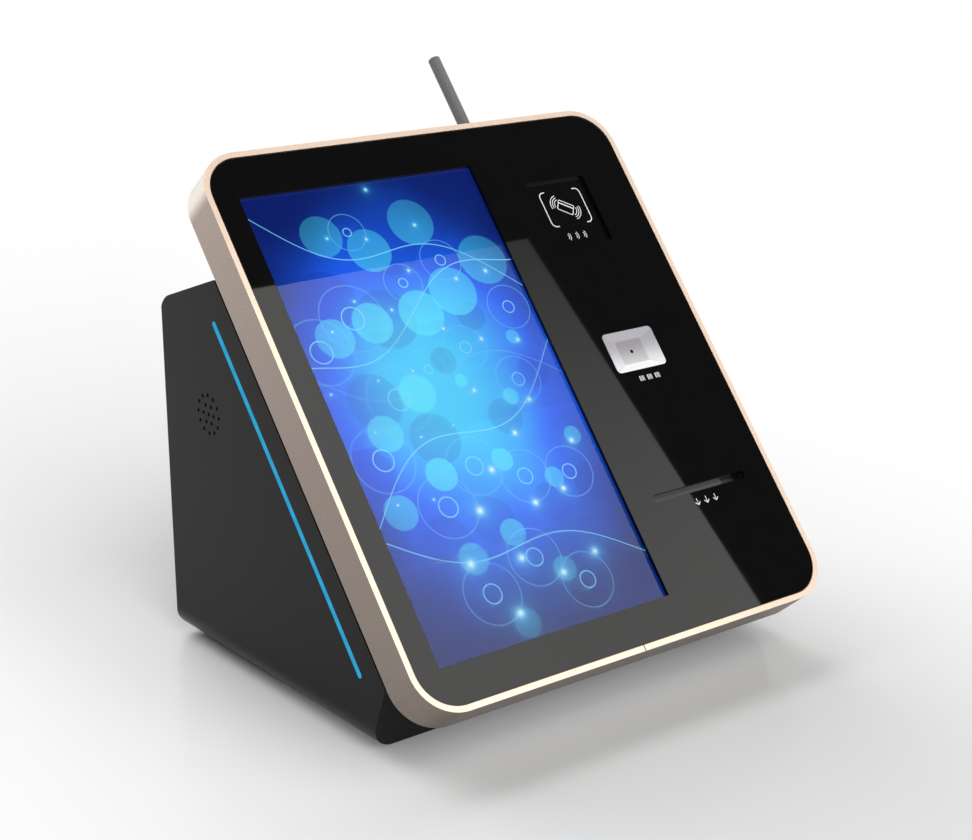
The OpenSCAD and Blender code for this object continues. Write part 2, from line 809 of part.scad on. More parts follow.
// The body's outer shape, brought in by d on every face
module body_block(d) {
    half = body_w / 2 - d;
    intersection() {
        across(-half, half)
            polygon(rounded(inset(body_outline, d), [for (r = body_radii) max(r - d, least_r)]));
        rotate([90, 0, 0]) linear_extrude(4 * base_depth, center = true)
            bottom_section(half, foot_h + d, max(edge_r - d, least_r));
        linear_extrude(2 * crest[1]) plan_section(half, rear_y - d, max(rear_edge_r - d, least_r));
    }
}

module x_band(low, high) translate([low, -2 * base_depth, -cut])
    cube([high - low, 4 * base_depth, 2 * crest[1]]);

module rear_panel_block() box_between([-seam_x, rear_y - wall, rear_low], [seam_x, rear_y, rear_high]);

module body_shell() color(body_grey) difference() {
    intersection() {
        difference() {
            body_block(0);
            body_block(wall);
        }
        x_band(-seam_x, seam_x);
    }
    rear_panel_block();
    on_panel() slab(frame_depth, -body_front + 2 * wall) neck_outline(neck_open);
    translate([0, base_mid, foot_h]) cube([base_open[0], base_open[1], 3 * wall], center = true);
    on_top() translate([0, 0, -2 * wall]) cylinder(r = socket_r + run_gap, h = 4 * wall);
    neck_screw_places() screw_hole(wall);
    base_screw_places() screw_hole(wall);
    lip_screw_places() screw_hole(wall);
}

// Tabs of a side panel on the bottom of the shell, which take its screws
module panel_tabs() for (y = [-1, 1])
    translate([tab_low, base_mid + y * base_depth / 4 - tab_w / 2, 0])
        cube([lip_high - tab_low, tab_w, base_top]);

// Right-hand side panel; the left-hand one is its mirror image
module side_panel() difference() {
    union() {
        intersection() {
            body_block(0);
            x_band(seam_x, body_w);
        }
        intersection() {
            body_block(wall);
            union() {
                x_band(lip_low, lip_high);
                panel_tabs();
            }
        }
    }
    intersection() {
        body_block(wall);
        x_band(lip_high, body_w);
    }
    intersection() {
        body_block(wall + lip_t);
        x_band(tab_low - cut, lip_high + cut);
    }
    on_panel() translate([0, strip_v, strip_n]) across(seam_x, body_w)
        pill(strip_len + 2 * strip_gap, strip_w + 2 * strip_gap);
    translate([0, rear_y - speaker_back, speaker_rise]) {
        rod(seam_x, body_w, grille_hole_r);
        for (ring = [1, 2], i = [0:6 * ring - 1]) rotate([60 * i / ring, 0, 0])
            translate([0, ring * grille_step, 0]) rod(seam_x, body_w, grille_hole_r);
    }
    lip_screw_places() screw_hole(wall + lip_t);
    rear_screw_places() screw_hole(wall + lip_t);
}

module left_side_panel() color(body_grey) on_side(-1) side_panel();
module right_side_panel() color(body_grey) on_side(1) side_panel();

module rear_panel() color(body_grey) difference() {
    rear_panel_block();
    box_between([door_left + door_lap, rear_y - 2 * wall, door_rise - door_h / 2 + door_lap],
        [door_right - door_lap, rear_y + wall, door_rise + door_h / 2 - door_lap]);
    at_rear(-inlet_x, power_rise) translate([0, 0, -2 * wall]) linear_extrude(3 * wall)
        rounded_rect(inlet_body[0] + 2 * fit_gap, inlet_body[1] + 2 * fit_gap, corner_r);
    at_rear(-switch_x, power_rise) translate([0, 0, -2 * wall]) linear_extrude(3 * wall)
        square([switch_body[0] + 2 * fit_gap, switch_body[1] + 2 * fit_gap], center = true);
    rear_screw_places() screw_hole(wall);
}

module base_plate() color(steel) difference() {
    translate([0, base_mid, base_low + base_t / 2])
        cube([base_open[0] + 2 * base_lap, base_open[1] + 2 * base_lap, base_t], center = true);
    for (x = [-1, 1], y = [-1, 1])
        translate([x * fixing_span / 2, base_mid + y * fixing_span / 2, base_low - cut])
            cylinder(r = fixing_r, h = base_t + 2 * cut);
    base_screw_places() screw_hole(wall + base_t);
}

module feet() color(dark) for (x = [-1, 1], y = [-1, 1])
    translate([x * foot_spread[0], base_mid + y * foot_spread[1], 0]) cylinder(r = foot_r, h = foot_h);

module case_screws() color(steel) {
    cover_screw_places() screw(sheet_t + screw_grip);
    neck_screw_places() screw(wall + sheet_t);
    base_screw_places() screw(wall + base_t);
    lip_screw_places() screw(wall + lip_t);
    rear_screw_places() screw(wall + lip_t);
}

// Lights and sound, made for the right-hand side
module light_strip() on_panel() translate([0, strip_v, strip_n]) {
    across(body_w / 2 - wall, body_w / 2) pill(strip_len, strip_w);
    across(body_w / 2 - wall - strip_lip_t, body_w / 2 - wall)
        pill(strip_len + 2 * strip_lip, strip_w + 2 * strip_lip);
}

module light_board() on_panel() translate([0, strip_v, strip_n]) {
    high = body_w / 2 - wall - strip_lip_t;
    light_step = strip_len / light_count;
    across(high - light_t - board_t, high - light_t)
        square([strip_len, strip_w + 2 * strip_lip], center = true);
    for (i = [0:light_count - 1]) across(high - light_t, high)
        translate([(i + 0.5) * light_step - strip_len / 2, 0]) square(light_size, center = true);
}

module speaker() translate([body_w / 2 - wall, rear_y - speaker_back, speaker_rise]) rotate([0, -90, 0])
    rotate_extrude() polygon([
        [0, cone_depth], [cone_r, cone_depth], [speaker_r - speaker_rim, 0], [speaker_r, 0],
        [speaker_r, speaker_flange_t], [speaker_r - sheet_t, speaker_flange_t], [magnet_r, basket_depth],
        [magnet_r, speaker_depth], [0, speaker_depth]]);

module left_light_strip() color(glow_blue) on_side(-1) light_strip();
module right_light_strip() color(glow_blue) on_side(1) light_strip();
module left_light_board() color(board_green) on_side(-1) light_board();
module right_light_board() color(board_green) on_side(1) light_board();
module left_speaker() color(dark) on_side(-1) speaker();
module right_speaker() color(dark) on_side(1) speaker();

// Rear door
module hinge_places() for (side = [-1, 1])
    translate([hinge_x, rear_y + hinge_out, door_rise + side * hinge_span / 2]) children();

module rear_door() color(body_grey) difference() {
    box_between([door_left, rear_y + fit_gap, door_rise - door_h / 2],
        [door_right, rear_y + door_face, door_rise + door_h / 2]);
    at_rear(lock_x, door_rise) translate([0, 0, -cut])
        cylinder(r = lock_r + run_gap, h = door_face + 2 * cut);
}

// Fixed halves of the hinges, with their pins
module hinge_leaves() color(steel) hinge_places() {
    box_between([0, -hinge_out, -knuckle_h], [leaf_w, leaf_t - hinge_out, 0]);
    translate([0, 0, -knuckle_h]) cylinder(r = hinge_r, h = knuckle_h);
    cylinder(r = hinge_pin_r, h = knuckle_h);
}

module door_knuckles() color(steel) hinge_places() difference() {
    union() {
        box_between([-door_leaf_w, door_face - hinge_out, fit_gap],
            [0, door_face - hinge_out + leaf_t, knuckle_h]);
        translate([0, 0, fit_gap]) cylinder(r = hinge_r, h = knuckle_h - fit_gap);
    }
    translate([0, 0, -cut]) cylinder(r = hinge_pin_r + run_gap, h = knuckle_h + 2 * cut);
}

module lock_body() color(steel) at_rear(lock_x, door_rise) difference() {
    union() {
        translate([0, 0, door_face]) cylinder(r = lock_flange_r, h = sheet_t);
        translate([0, 0, -wall]) cylinder(r = lock_r, h = wall + door_face + cut);
    }
    translate([0, 0, -2 * wall]) cylinder(r = plug_r + run_gap, h = 4 * wall + door_face);
}

module lock_nut() color(steel) at_rear(lock_x, door_rise) difference() {
    translate([0, 0, fit_gap - lock_nut_t]) cylinder(r = lock_nut_r, h = lock_nut_t, $fn = 6);
    translate([0, 0, -wall]) cylinder(r = lock_r, h = 2 * wall);
}

module lock_plug() color(steel) at_rear(lock_x, door_rise) difference() {
    union() {
        translate([0, 0, cam_face]) cylinder(r = plug_r, h = door_face + sheet_t + hinge_gap - cam_face);
        translate([0, 0, cam_face - cam_t - hinge_gap]) cylinder(r = stem_r, h = cam_t + hinge_gap + cut);
    }
    translate([0, 0, door_face + sheet_t + hinge_gap])
        cube([key_slot[0], key_slot[1], 2 * key_slot[2]], center = true);
}

// At rest the cam points up, clear of the rear panel; turned, it reaches behind the panel
module lock_cam() color(steel) at_rear(lock_x, door_rise) difference() {
    translate([0, 0, cam_face - cam_t]) linear_extrude(cam_t) {
        circle(cam_hub_r);
        translate([-cam_w / 2, -cam_len]) square([cam_w, cam_len]);
    }
    translate([0, 0, cam_face - 2 * cam_t]) cylinder(r = stem_r, h = 3 * cam_t);
}

// Power
module inlet_outline() polygon([
    [-inlet_mouth[0] / 2, inlet_mouth[1] / 2],
    [-inlet_mouth[0] / 2, inlet_chamfer - inlet_mouth[1] / 2],
    [inlet_chamfer - inlet_mouth[0] / 2, -inlet_mouth[1] / 2],
    [inlet_mouth[0] / 2 - inlet_chamfer, -inlet_mouth[1] / 2],
    [inlet_mouth[0] / 2, inlet_chamfer - inlet_mouth[1] / 2],
    [inlet_mouth[0] / 2, inlet_mouth[1] / 2]]);

module power_inlet() color(dark) at_rear(-inlet_x, power_rise) difference() {
    union() {
        linear_extrude(inlet_flange[2]) rounded_rect(inlet_flange[0], inlet_flange[1], corner_r);
        translate([0, 0, -inlet_body[2]]) linear_extrude(inlet_body[2] + cut)
            rounded_rect(inlet_body[0], inlet_body[1], corner_r);
    }
    translate([0, 0, -inlet_floor]) linear_extrude(2 * inlet_floor) inlet_outline();
}

module inlet_pins() color(steel) at_rear(-inlet_x, power_rise) for (x = [-1, 0, 1])
    translate([x * inlet_pin_x, inlet_pin_y * (2 * abs(x) - 1), inlet_pin[2] / 2 - inlet_floor])
        cube(inlet_pin, center = true);

module switch_frame() color(dark) at_rear(-switch_x, power_rise) difference() {
    union() {
        linear_extrude(switch_flange[2]) square([switch_flange[0], switch_flange[1]], center = true);
        translate([0, 0, -switch_body[2]]) linear_extrude(switch_body[2] + cut)
            square([switch_body[0], switch_body[1]], center = true);
    }
    translate([0, 0, -switch_pocket[2]]) linear_extrude(2 * switch_pocket[2])
        square([switch_pocket[0], switch_pocket[1]], center = true);
    translate([0, 0, rocker_pivot]) rod(-switch_body[0], switch_body[0], rocker_pin_r + run_gap);
}

module power_rocker() color(dark) at_rear(-switch_x, power_rise) translate([0, 0, rocker_pivot])
    rotate([rocker_tilt, 0, 0]) {
        across(-rocker_w / 2, rocker_w / 2) polygon([
            [-rocker_half, -rocker_skirt], [-keel_half, -keel_depth], [keel_half, -keel_depth],
            [rocker_half, -rocker_skirt], [rocker_half, rocker_top], [0, rocker_dip],
            [-rocker_half, rocker_top]]);
        rod(-rocker_pin_l / 2, rocker_pin_l / 2, rocker_pin_r);
    }

module power_supply() color(steel) translate([supply_x, supply_rear - supply_l / 2, base_top]) difference() {
    translate([0, 0, supply_h / 2]) cube([supply_w, supply_l, supply_h], center = true);
    row_step = supply_l / (supply_vents + 1);
    for (i = [1:supply_vents]) translate([0, i * row_step - supply_l / 2, supply_h])
        cube([supply_w / 2, vent_w, 2 * supply_wall], center = true);
}

// Antenna
module antenna_socket() color([0.8, 0.7, 0.4]) on_top() {
    translate([0, 0, -wall - socket_inner]) cylinder(r = socket_r, h = wall + socket_inner + socket_outer);
    translate([0, 0, -wall - socket_hex_t]) cylinder(r = socket_hex_r, h = socket_hex_t, $fn = 6);
    cylinder(r = socket_hex_r, h = socket_hex_t, $fn = 6);
}

module antenna_base() color(dark) on_top() difference() {
    union() {
        translate([0, 0, sleeve_low]) cylinder(r = sleeve_r, h = sleeve_high - sleeve_low);
        for (side = [-1, 1]) on_side(side) across(ear_in, ear_out) {
            translate([-tongue_r, sleeve_high - cut])
                square([2 * tongue_r, antenna_rise - sleeve_high + cut]);
            translate([0, antenna_rise]) circle(tongue_r);
        }
    }
    translate([0, 0, -cut]) cylinder(r = socket_r + run_gap, h = socket_outer + fit_gap + cut);
    translate([0, 0, antenna_rise]) rod(-2 * ear_out, 2 * ear_out, fold_pin_r);
}

module antenna_pin() color(steel) on_top() translate([0, 0, antenna_rise]) rod(-ear_out, ear_out, fold_pin_r);

module antenna_rod() color(rod_grey) on_top() translate([0, 0, antenna_rise]) rotate([-antenna_lean, 0, 0])
    difference() {
        union() {
            across(fit_gap - ear_in, ear_in - fit_gap) {
                circle(tongue_r);
                translate([-tongue_r, 0]) square([2 * tongue_r, rod_low + cut]);
            }
            translate([0, 0, rod_low]) cylinder(r = antenna_r, h = antenna_len - rod_low - rod_chamfer);
            translate([0, 0, antenna_len - rod_chamfer])
                cylinder(r1 = antenna_r, r2 = antenna_r - rod_chamfer, h = rod_chamfer);
        }
        rod(-2 * ear_in, 2 * ear_in, fold_pin_r + run_gap);
    }

// Ticket printer
module at_platen() on_panel() translate([column_x, platen_v, platen_n]) children();
module at_pinion() on_panel() translate([column_x, platen_v, pinion_n]) children();

module printer_frame() color(steel) difference() {
    on_panel() difference() {
        union() {
            slab(rail_back, printer_front) in_column((rail_places[1] + rail_places[2]) / 2)
                square([2 * printer_plate_half, rail_places[1] - rail_places[2] + rail_h], center = true);
            for (side = [-1, 1]) slab(printer_front - cut, printer_back)
                in_column((printer_low + printer_high) / 2)
                    translate([side * (printer_half + sheet_t / 2), 0])
                        square([sheet_t, printer_high - printer_low], center = true);
            slab(printer_back - sheet_t, printer_back) in_column(printer_high - tie_h / 2)
                square([2 * printer_half + sheet_t, tie_h], center = true);
        }
        slab(0, mouth_back + fit_gap) in_column(slot_v)
            square([slot_w + 2 * (mouth_lap + fit_gap), slot_h + 2 * (mouth_rim + fit_gap)], center = true);
    }
    at_platen() rod(-2 * printer_half, 2 * printer_half, platen_shaft_r + run_gap);
    at_pinion() rod(-2 * printer_half, 0, pinion_clear_r);
}

module platen_roller() color([0.15, 0.15, 0.15]) at_platen() difference() {
    rod(-platen_l / 2, platen_l / 2, platen_r);
    rod(-platen_l, platen_l, platen_shaft_r);
}

module platen_shaft() color(steel) at_platen()
    rod(gear_x - gear_t - sheet_t, printer_half + 2 * sheet_t, platen_shaft_r);

module platen_gear() color([0.9, 0.9, 0.86]) at_platen() difference() {
    across(gear_x - gear_t, gear_x) polygon(gear_outline(platen_teeth, -90));
    rod(2 * gear_x, 0, platen_shaft_r);
}

module drive_motor() color([0.3, 0.3, 0.32]) at_pinion() difference() {
    rod(-printer_half, motor_l - printer_half, motor_r);
    rod(-2 * printer_half, motor_l / 2 - printer_half, motor_shaft_r + run_gap);
}

// Pinion with the motor's shaft, in mesh with the platen gear
module motor_pinion() color(steel) at_pinion() {
    across(gear_x - gear_t, gear_x) polygon(gear_outline(pinion_teeth, 90 + 180 / pinion_teeth));
    rod(gear_x - gear_t / 2, motor_l / 2 - printer_half - fit_gap, motor_shaft_r);
}

module print_head() color(dark) on_panel()
    slab(-platen_n - head_depth / 2, -platen_n + head_depth / 2) in_column(path_v + (paper_gap + head_h) / 2)
        square([2 * (printer_half - fit_gap), head_h], center = true);

module cutter_blade() color(steel) on_panel()
    slab(-blade_n, blade_t - blade_n) in_column(path_v + blade_gap + blade_h / 2)
        square([2 * (printer_half - fit_gap), blade_h], center = true);

module fixed_blade() color(steel) on_panel()
    slab(-blade_n - fit_gap - blade_t, -blade_n - fit_gap) in_column(path_v - blade_gap - blade_h / 2)
        square([2 * printer_half, blade_h], center = true);

// Paper roll on its spindle
module at_roll() translate([column_x, roll_y, roll_z]) children();

module roll_bracket() color(steel) at_roll() {
    cheek_in = roll_w / 2 + cheek_gap;
    floor_z = base_top - roll_z;
    box_between([-cheek_in, -cheek_half, floor_z], [cheek_in, cheek_half, floor_z + sheet_t]);
    for (side = [-1, 1]) on_side(side) across(cheek_in - cut, cheek_in + cheek_t) difference() {
        translate([-cheek_half, floor_z]) square([2 * cheek_half, cheek_rise - floor_z]);
        circle(spindle_r + run_gap);
        translate([-spindle_r - run_gap, 0]) square([2 * (spindle_r + run_gap), 2 * cheek_rise]);
    }
}

module roll_spindle() color(steel) at_roll() {
    half = roll_w / 2 + cheek_gap + cheek_t + spindle_over;
    rod(-half, half, spindle_r);
}

module paper_core() color([0.7, 0.6, 0.45]) at_roll() difference() {
    rod(-roll_w / 2, roll_w / 2, core_r);
    rod(-roll_w, roll_w, spindle_r + run_gap);
}

module paper_roll() color(paper_white) at_roll() difference() {
    rod(-roll_w / 2, roll_w / 2, roll_r);
    rod(-roll_w, roll_w, core_r);
}

front_frame();
frame_joiner();
front_plate();
touch_glass();
lcd_panel();
lcd_tray();
cross_rails();
cover_blocks();
panel_back_cover();
reader_cover();
reader_board();
scanner_bezel();
scanner_module();
scanner_lens();
ticket_mouth();
main_board();
board_standoffs();
heat_sink();
body_shell();
left_side_panel();
right_side_panel();
rear_panel();
base_plate();
feet();
case_screws();
left_light_strip();
right_light_strip();
left_light_board();
right_light_board();
left_speaker();
right_speaker();
rear_door();
hinge_leaves();
door_knuckles();
lock_body();
lock_nut();
lock_plug();
lock_cam();
power_inlet();
inlet_pins();
switch_frame();
power_rocker();
power_supply();
antenna_socket();
antenna_base();
antenna_pin();
antenna_rod();
printer_frame();
platen_roller();
platen_shaft();
platen_gear();
drive_motor();
motor_pinion();
print_head();
cutter_blade();
fixed_blade();
roll_bracket();
roll_spindle();
paper_core();
paper_roll();
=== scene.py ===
# %% [markdown]
# # Countertop ticket kiosk
# A framed touch panel leans on a dark wedge-shaped body. Beside the screen stand a card reader, a code
# scanner and a ticket slot, one above the other. All of it could be modelled again here, but then there
# would be two sets of sizes. The solid model brings every piece at its real size instead; this file gives
# the pieces their surfaces, softens a few edges, and adds a stage, light and a camera.

import json
import math

import bmesh
import bpy
from mathutils import Matrix, Vector


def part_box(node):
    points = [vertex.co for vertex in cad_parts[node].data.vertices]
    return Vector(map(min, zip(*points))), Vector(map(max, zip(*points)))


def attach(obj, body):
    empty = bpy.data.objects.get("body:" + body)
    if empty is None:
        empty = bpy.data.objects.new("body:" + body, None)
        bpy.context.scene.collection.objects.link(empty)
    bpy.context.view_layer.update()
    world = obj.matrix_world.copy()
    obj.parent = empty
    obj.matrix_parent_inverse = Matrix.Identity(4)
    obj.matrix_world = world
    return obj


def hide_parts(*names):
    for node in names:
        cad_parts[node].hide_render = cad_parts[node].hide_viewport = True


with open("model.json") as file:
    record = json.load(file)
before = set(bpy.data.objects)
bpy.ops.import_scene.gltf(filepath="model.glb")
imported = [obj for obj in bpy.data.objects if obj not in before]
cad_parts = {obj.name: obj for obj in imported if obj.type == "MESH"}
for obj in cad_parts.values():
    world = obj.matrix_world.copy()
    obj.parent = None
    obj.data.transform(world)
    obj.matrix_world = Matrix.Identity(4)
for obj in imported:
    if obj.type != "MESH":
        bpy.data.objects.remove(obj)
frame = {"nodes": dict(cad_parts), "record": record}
nodes = frame["nodes"]
scene = bpy.context.scene
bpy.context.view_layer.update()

# %% [markdown]
# ## The panel's own directions
# Most of what is seen lies on the sloping panel, so it helps to think in its directions: u to the right,
# v up the slope and n out of the glass. The slope is 50 degrees. The frame's height and depth could be
# typed in, but they also follow from the two sides of its bounding box, because each side is a sum of
# both, turned by the slope. Read like this, they stay right when the solid model's sizes change.

# %% Find the panel
TILT = math.radians(50)
MM = 1000.0
low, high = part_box("front_frame")
box_y, box_z = high.y - low.y, high.z - low.z
cos_tilt, sin_tilt = math.cos(TILT), math.sin(TILT)
cos_double = cos_tilt * cos_tilt - sin_tilt * sin_tilt
panel_w = high.x - low.x
panel_h = (box_y * cos_tilt - box_z * sin_tilt) / cos_double
panel_d = (box_z * cos_tilt - box_y * sin_tilt) / cos_double
middle = Vector((0, low.y + panel_h / 2 * cos_tilt, high.z - panel_h / 2 * sin_tilt))
panel = Matrix.Translation(middle) @ Matrix.Rotation(TILT, 4, "X")
u_axis, v_axis, n_axis = (Vector(panel.col[i][:3]) for i in range(3))


def on_panel(u, v, n):
    """A place given in the panel's directions and millimetres, in metres of the frame."""
    return panel @ (Vector((u, v, n)) / MM)


def panel_middle(name):
    """The middle of a piece in the panel's directions and millimetres."""
    low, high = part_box(name)
    return panel.inverted() @ ((low + high) / 2) * MM


print("panel", round(panel_w, 4), "by", round(panel_h, 4), "by", round(panel_d, 4), "m, middle at", middle)

# %% [markdown]
# ## Arithmetic for surfaces
# A surface here is a formula of position. Writing formulas as node after node hides them, so one small
# class stands for a socket: ordinary operators between two of them add the math nodes that do the work.

# %% Wires
def maths(operation, swapped=False):
    """A method that adds one Math node, which works on the wire and on what the method is given."""
    def method(self, *others):
        values = (*others, self) if swapped else (self, *others)
        return self.node("ShaderNodeMath", dict(enumerate(values)), operation=operation)
    return method


class Wire:
    """One value inside a material; arithmetic with it adds nodes."""

    def __init__(self, tree, socket):
        self.tree, self.socket = tree, socket

    def node(self, kind, inputs, out=0, **settings):
        """A node of any kind, with its settings, and with numbers or wires for its inputs."""
        made = self.tree.nodes.new(kind)
        for key, value in settings.items():
            setattr(made, key, value)
        for key, value in inputs.items():
            if isinstance(value, Wire):
                self.tree.links.new(value.socket, made.inputs[key])
            else:
                made.inputs[key].default_value = value
        return Wire(self.tree, made.outputs[out])

    __add__ = __radd__ = maths("ADD")
    __mul__ = __rmul__ = maths("MULTIPLY")
    __sub__, __rsub__ = maths("SUBTRACT"), maths("SUBTRACT", swapped=True)
    __truediv__, __rtruediv__ = maths("DIVIDE"), maths("DIVIDE", swapped=True)
    __pow__, __abs__ = maths("POWER"), maths("ABSOLUTE")
    least, most = maths("MINIMUM"), maths("MAXIMUM")
    sine, root, rounded = maths("SINE"), maths("SQRT"), maths("ROUND")

    def __neg__(self):
        return self * -1.0

    def rise(self, start, end):
        """0 before start, 1 after end and smooth between them."""
        return self.node("ShaderNodeMapRange", {0: self, 1: start, 2: end}, interpolation_type="SMOOTHSTEP")

    def stretch(self, factors):
        return self.node("ShaderNodeVectorMath", {0: self, 1: factors}, operation="MULTIPLY")

    def along(self, direction):
        return self.node("ShaderNodeVectorMath", {0: self, 1: direction}, "Value", operation="DOT_PRODUCT")

    def distance(self, point):
        return self.node("ShaderNodeVectorMath", {0: self, 1: point}, "Value", operation="DISTANCE")

    def blend(self, first, second):
        """A colour between two others; this wire says how far towards the second."""
        return self.node("ShaderNodeMix", {0: self, 6: first, 7: second}, out=2, data_type="RGBA")

    def noise(self, scale, detail=2.0):
        return self.node("ShaderNodeTexNoise", {"Vector": self, "Scale": scale, "Detail": detail})

    def bump(self, height, strength, distance=0.0002):
        return self.node("ShaderNodeBump", {"Height": height, "Strength": strength, "Distance": distance})

    def principled(self, **values):
        return self.node("ShaderNodeBsdfPrincipled", {k.replace("_", " "): v for k, v in values.items()})


print("a wire knows", len([name for name in vars(Wire) if callable(vars(Wire)[name])]), "operations")

# %% [markdown]
# ## Materials and colours
# A material is one such formula that ends in a shader. Pictures could be wrapped round the pieces instead,
# but a formula fits every shape without unwrapping it. It starts from the piece's own coordinates, so the
# pattern stays on a piece that moves. Colours are written as a picture shows them, from 0 to 255, and are
# turned into amounts of light, which is what a shader works with.

# %% Materials and colours
surfaces = {}


def surface(name, build):
    """A material whose shader is what build returns for the wire of object positions."""
    material = bpy.data.materials.new(name)
    material.use_nodes = True
    tree = material.node_tree
    tree.nodes.clear()
    place = Wire(tree, tree.nodes.new("ShaderNodeTexCoord").outputs["Object"])
    output = tree.nodes.new("ShaderNodeOutputMaterial")
    tree.links.new(build(place).socket, output.inputs["Surface"])
    return material


def add_surfaces(**builds):
    """Makes materials and files them under their names."""
    surfaces.update({name: surface(name, build) for name, build in builds.items()})


def rgb(red, green, blue):
    """A colour as a picture shows it, 0 to 255, turned into light."""
    def light(value):
        value = value / 255
        return value / 12.92 if value <= 0.04045 else ((value + 0.055) / 1.055) ** 2.4
    return light(red), light(green), light(blue), 1.0


BLACK, WHITE = rgb(0, 0, 0), rgb(255, 255, 255)
print("grey 128 is", round(rgb(128, 128, 128)[0], 4), "of white as light")

# %% [markdown]
# ## Distances on the panel
# Seams, outlines and printed marks could be thin pieces of their own. Drawn in the material they need no
# extra mesh and stay crisp from near by. A formula gives the distance to a shape, in millimetres, and a
# line is where that distance stays below half the line's width.

# %% Distances
LINE_EDGE = 0.09


def panel_place(place, u, v):
    """Millimetres right of and above a point of the panel."""
    start = on_panel(u, v, 0) * MM
    return place.along(u_axis * MM) - start.dot(u_axis), place.along(v_axis * MM) - start.dot(v_axis)


def panel_out(place):
    """Millimetres out of the panel's face, negative behind it."""
    return place.along(n_axis * MM) - middle.dot(n_axis) * MM


def box_distance(a, b, half_a, half_b, r):
    """Distance outside a rounded rectangle, negative inside."""
    x, y = abs(a) - (half_a - r), abs(b) - (half_b - r)
    outside = (x.most(0.0) ** 2.0 + y.most(0.0) ** 2.0).root()
    return outside + x.most(y).least(0.0) - r


def line(distance, half_width):
    """1 on a line where the distance is 0, with narrow soft edges."""
    return 1.0 - abs(distance).rise(half_width - LINE_EDGE, half_width + LINE_EDGE)


def together(shapes):
    """Several shapes drawn as one."""
    whole, *others = shapes
    for shape in others:
        whole = whole.most(shape)
    return whole


print("the panel's outline is", round(panel_w * MM, 1), "by", round(panel_h * MM, 1), "mm")

# %% [markdown]
# ## Frame metal
# The frame is aluminium. Its sides are blasted with fine sand before they are anodised, so they look dull
# and sparkle in tiny grains. Their colour holds painted shade, darker towards the bottom and on the
# underside, and a painted highlight along the top rounding. The narrow front face is cut afterwards and
# stays bright, with a painted shadow line along its inner edge, where its inner wall would lie in shade,
# and a dark line where the frame's two ends meet. Two materials on two sets of faces could do it. One
# material that asks how far a point lies behind the front face leaves the solid frame as it is.

# %% Frame metal
FRAME_WALL, FRAME_CORNER = 4.6, 32.0
HALF_OPEN_W, HALF_OPEN_H = panel_w * MM / 2 - FRAME_WALL, panel_h * MM / 2 - FRAME_WALL
SIDE_SHADE_SPAN, TOP_ROUND_HIGHLIGHT, UNDERSIDE_SHADE = 340.0, (171.0, 184.0), (-200.0, -205.8)
CUT_FACE, INNER_EDGE_SHADE, SEAM_HALF = (-0.1, -0.03), (0.3, 0.6), 0.4


def champagne(place):
    grain = place.noise(900.0, 3.0)
    speckle = grain.rise(0.25, 0.75)
    across, up = panel_place(place, 0.0, 0.0)
    # Painted shade: the sides darken towards the bottom.
    shaded_low_side = speckle.blend(rgb(132, 120, 112), rgb(154, 141, 132))
    lit_high_side = speckle.blend(rgb(162, 147, 138), rgb(184, 169, 159))
    side = ((up / SIDE_SHADE_SPAN + 0.5) ** 2.0).blend(shaded_low_side, lit_high_side)
    # Painted highlight along the top rounding.
    side = up.rise(*TOP_ROUND_HIGHLIGHT).blend(side, rgb(250, 240, 232))
    # Painted shade on the underside.
    side = (up.rise(*UNDERSIDE_SHADE) * 0.26).blend(side, BLACK)
    opening = box_distance(across, up, HALF_OPEN_W, HALF_OPEN_H, FRAME_CORNER - FRAME_WALL)
    seam = line(across, SEAM_HALF) * (-up).rise(HALF_OPEN_H - 1.0, HALF_OPEN_H)
    front = speckle.blend(rgb(246, 219, 197), rgb(254, 228, 206))
    # Painted shadow line along the front face's inner edge; the seam is a dark joint.
    front = (1.0 - opening.rise(*INNER_EDGE_SHADE)).most(seam).blend(front, rgb(62, 53, 48))
    cut_face = panel_out(place).rise(*CUT_FACE)
    return place.principled(Base_Color=cut_face.blend(side, front), Metallic=1.0 - cut_face * 0.7,
                            Roughness=cut_face * -0.2 + grain * 0.08 + 0.36, Normal=place.bump(grain, 0.06))


add_surfaces(champagne_aluminium=champagne)
print("the frame's opening is", round(2 * HALF_OPEN_W, 1), "by", round(2 * HALF_OPEN_H, 1), "mm")

# %% [markdown]
# ## Paint and plain metals
# The body is sheet metal under satin charcoal powder paint, whose skin is slightly uneven. Inner brackets
# are plain zinc-plated sheet with faint streaks, and the other metals need only a colour and a roughness.
# A scan of each finish would show more, but noise at the scale of the real grain is enough at this size.

# %% Paint and plain metals
def body_paint(place):
    grain = place.noise(1400.0)
    colour = grain.rise(0.3, 0.7).blend(rgb(22, 22, 22), rgb(27, 27, 27))
    return place.principled(Base_Color=colour, Roughness=grain * 0.1 + 0.25, IOR=1.18,
                            Normal=place.bump(grain, 0.05))


def sheet_steel(place):
    streak = place.stretch((60.0, 2200.0, 2200.0)).noise(1.0)
    colour = streak.blend(rgb(182, 184, 187), rgb(214, 215, 216))
    return place.principled(Base_Color=colour, Metallic=0.9, Roughness=streak * 0.2 + 0.3)


def plain_metal(first, second, roughness):
    def build(place):
        grain = place.noise(900.0)
        colour = grain.blend(first, second)
        return place.principled(Base_Color=colour, Metallic=0.9, Roughness=grain * 0.1 + roughness)
    return build


add_surfaces(
    body_paint=body_paint,
    sheet_steel=sheet_steel,
    brass=plain_metal(rgb(190, 150, 80), rgb(220, 185, 115), 0.25),
    dark_metal=plain_metal(rgb(28, 28, 28), rgb(44, 44, 44), 0.45),
    motor_metal=plain_metal(rgb(80, 80, 84), rgb(104, 104, 108), 0.4),
)
print(sorted(surfaces))

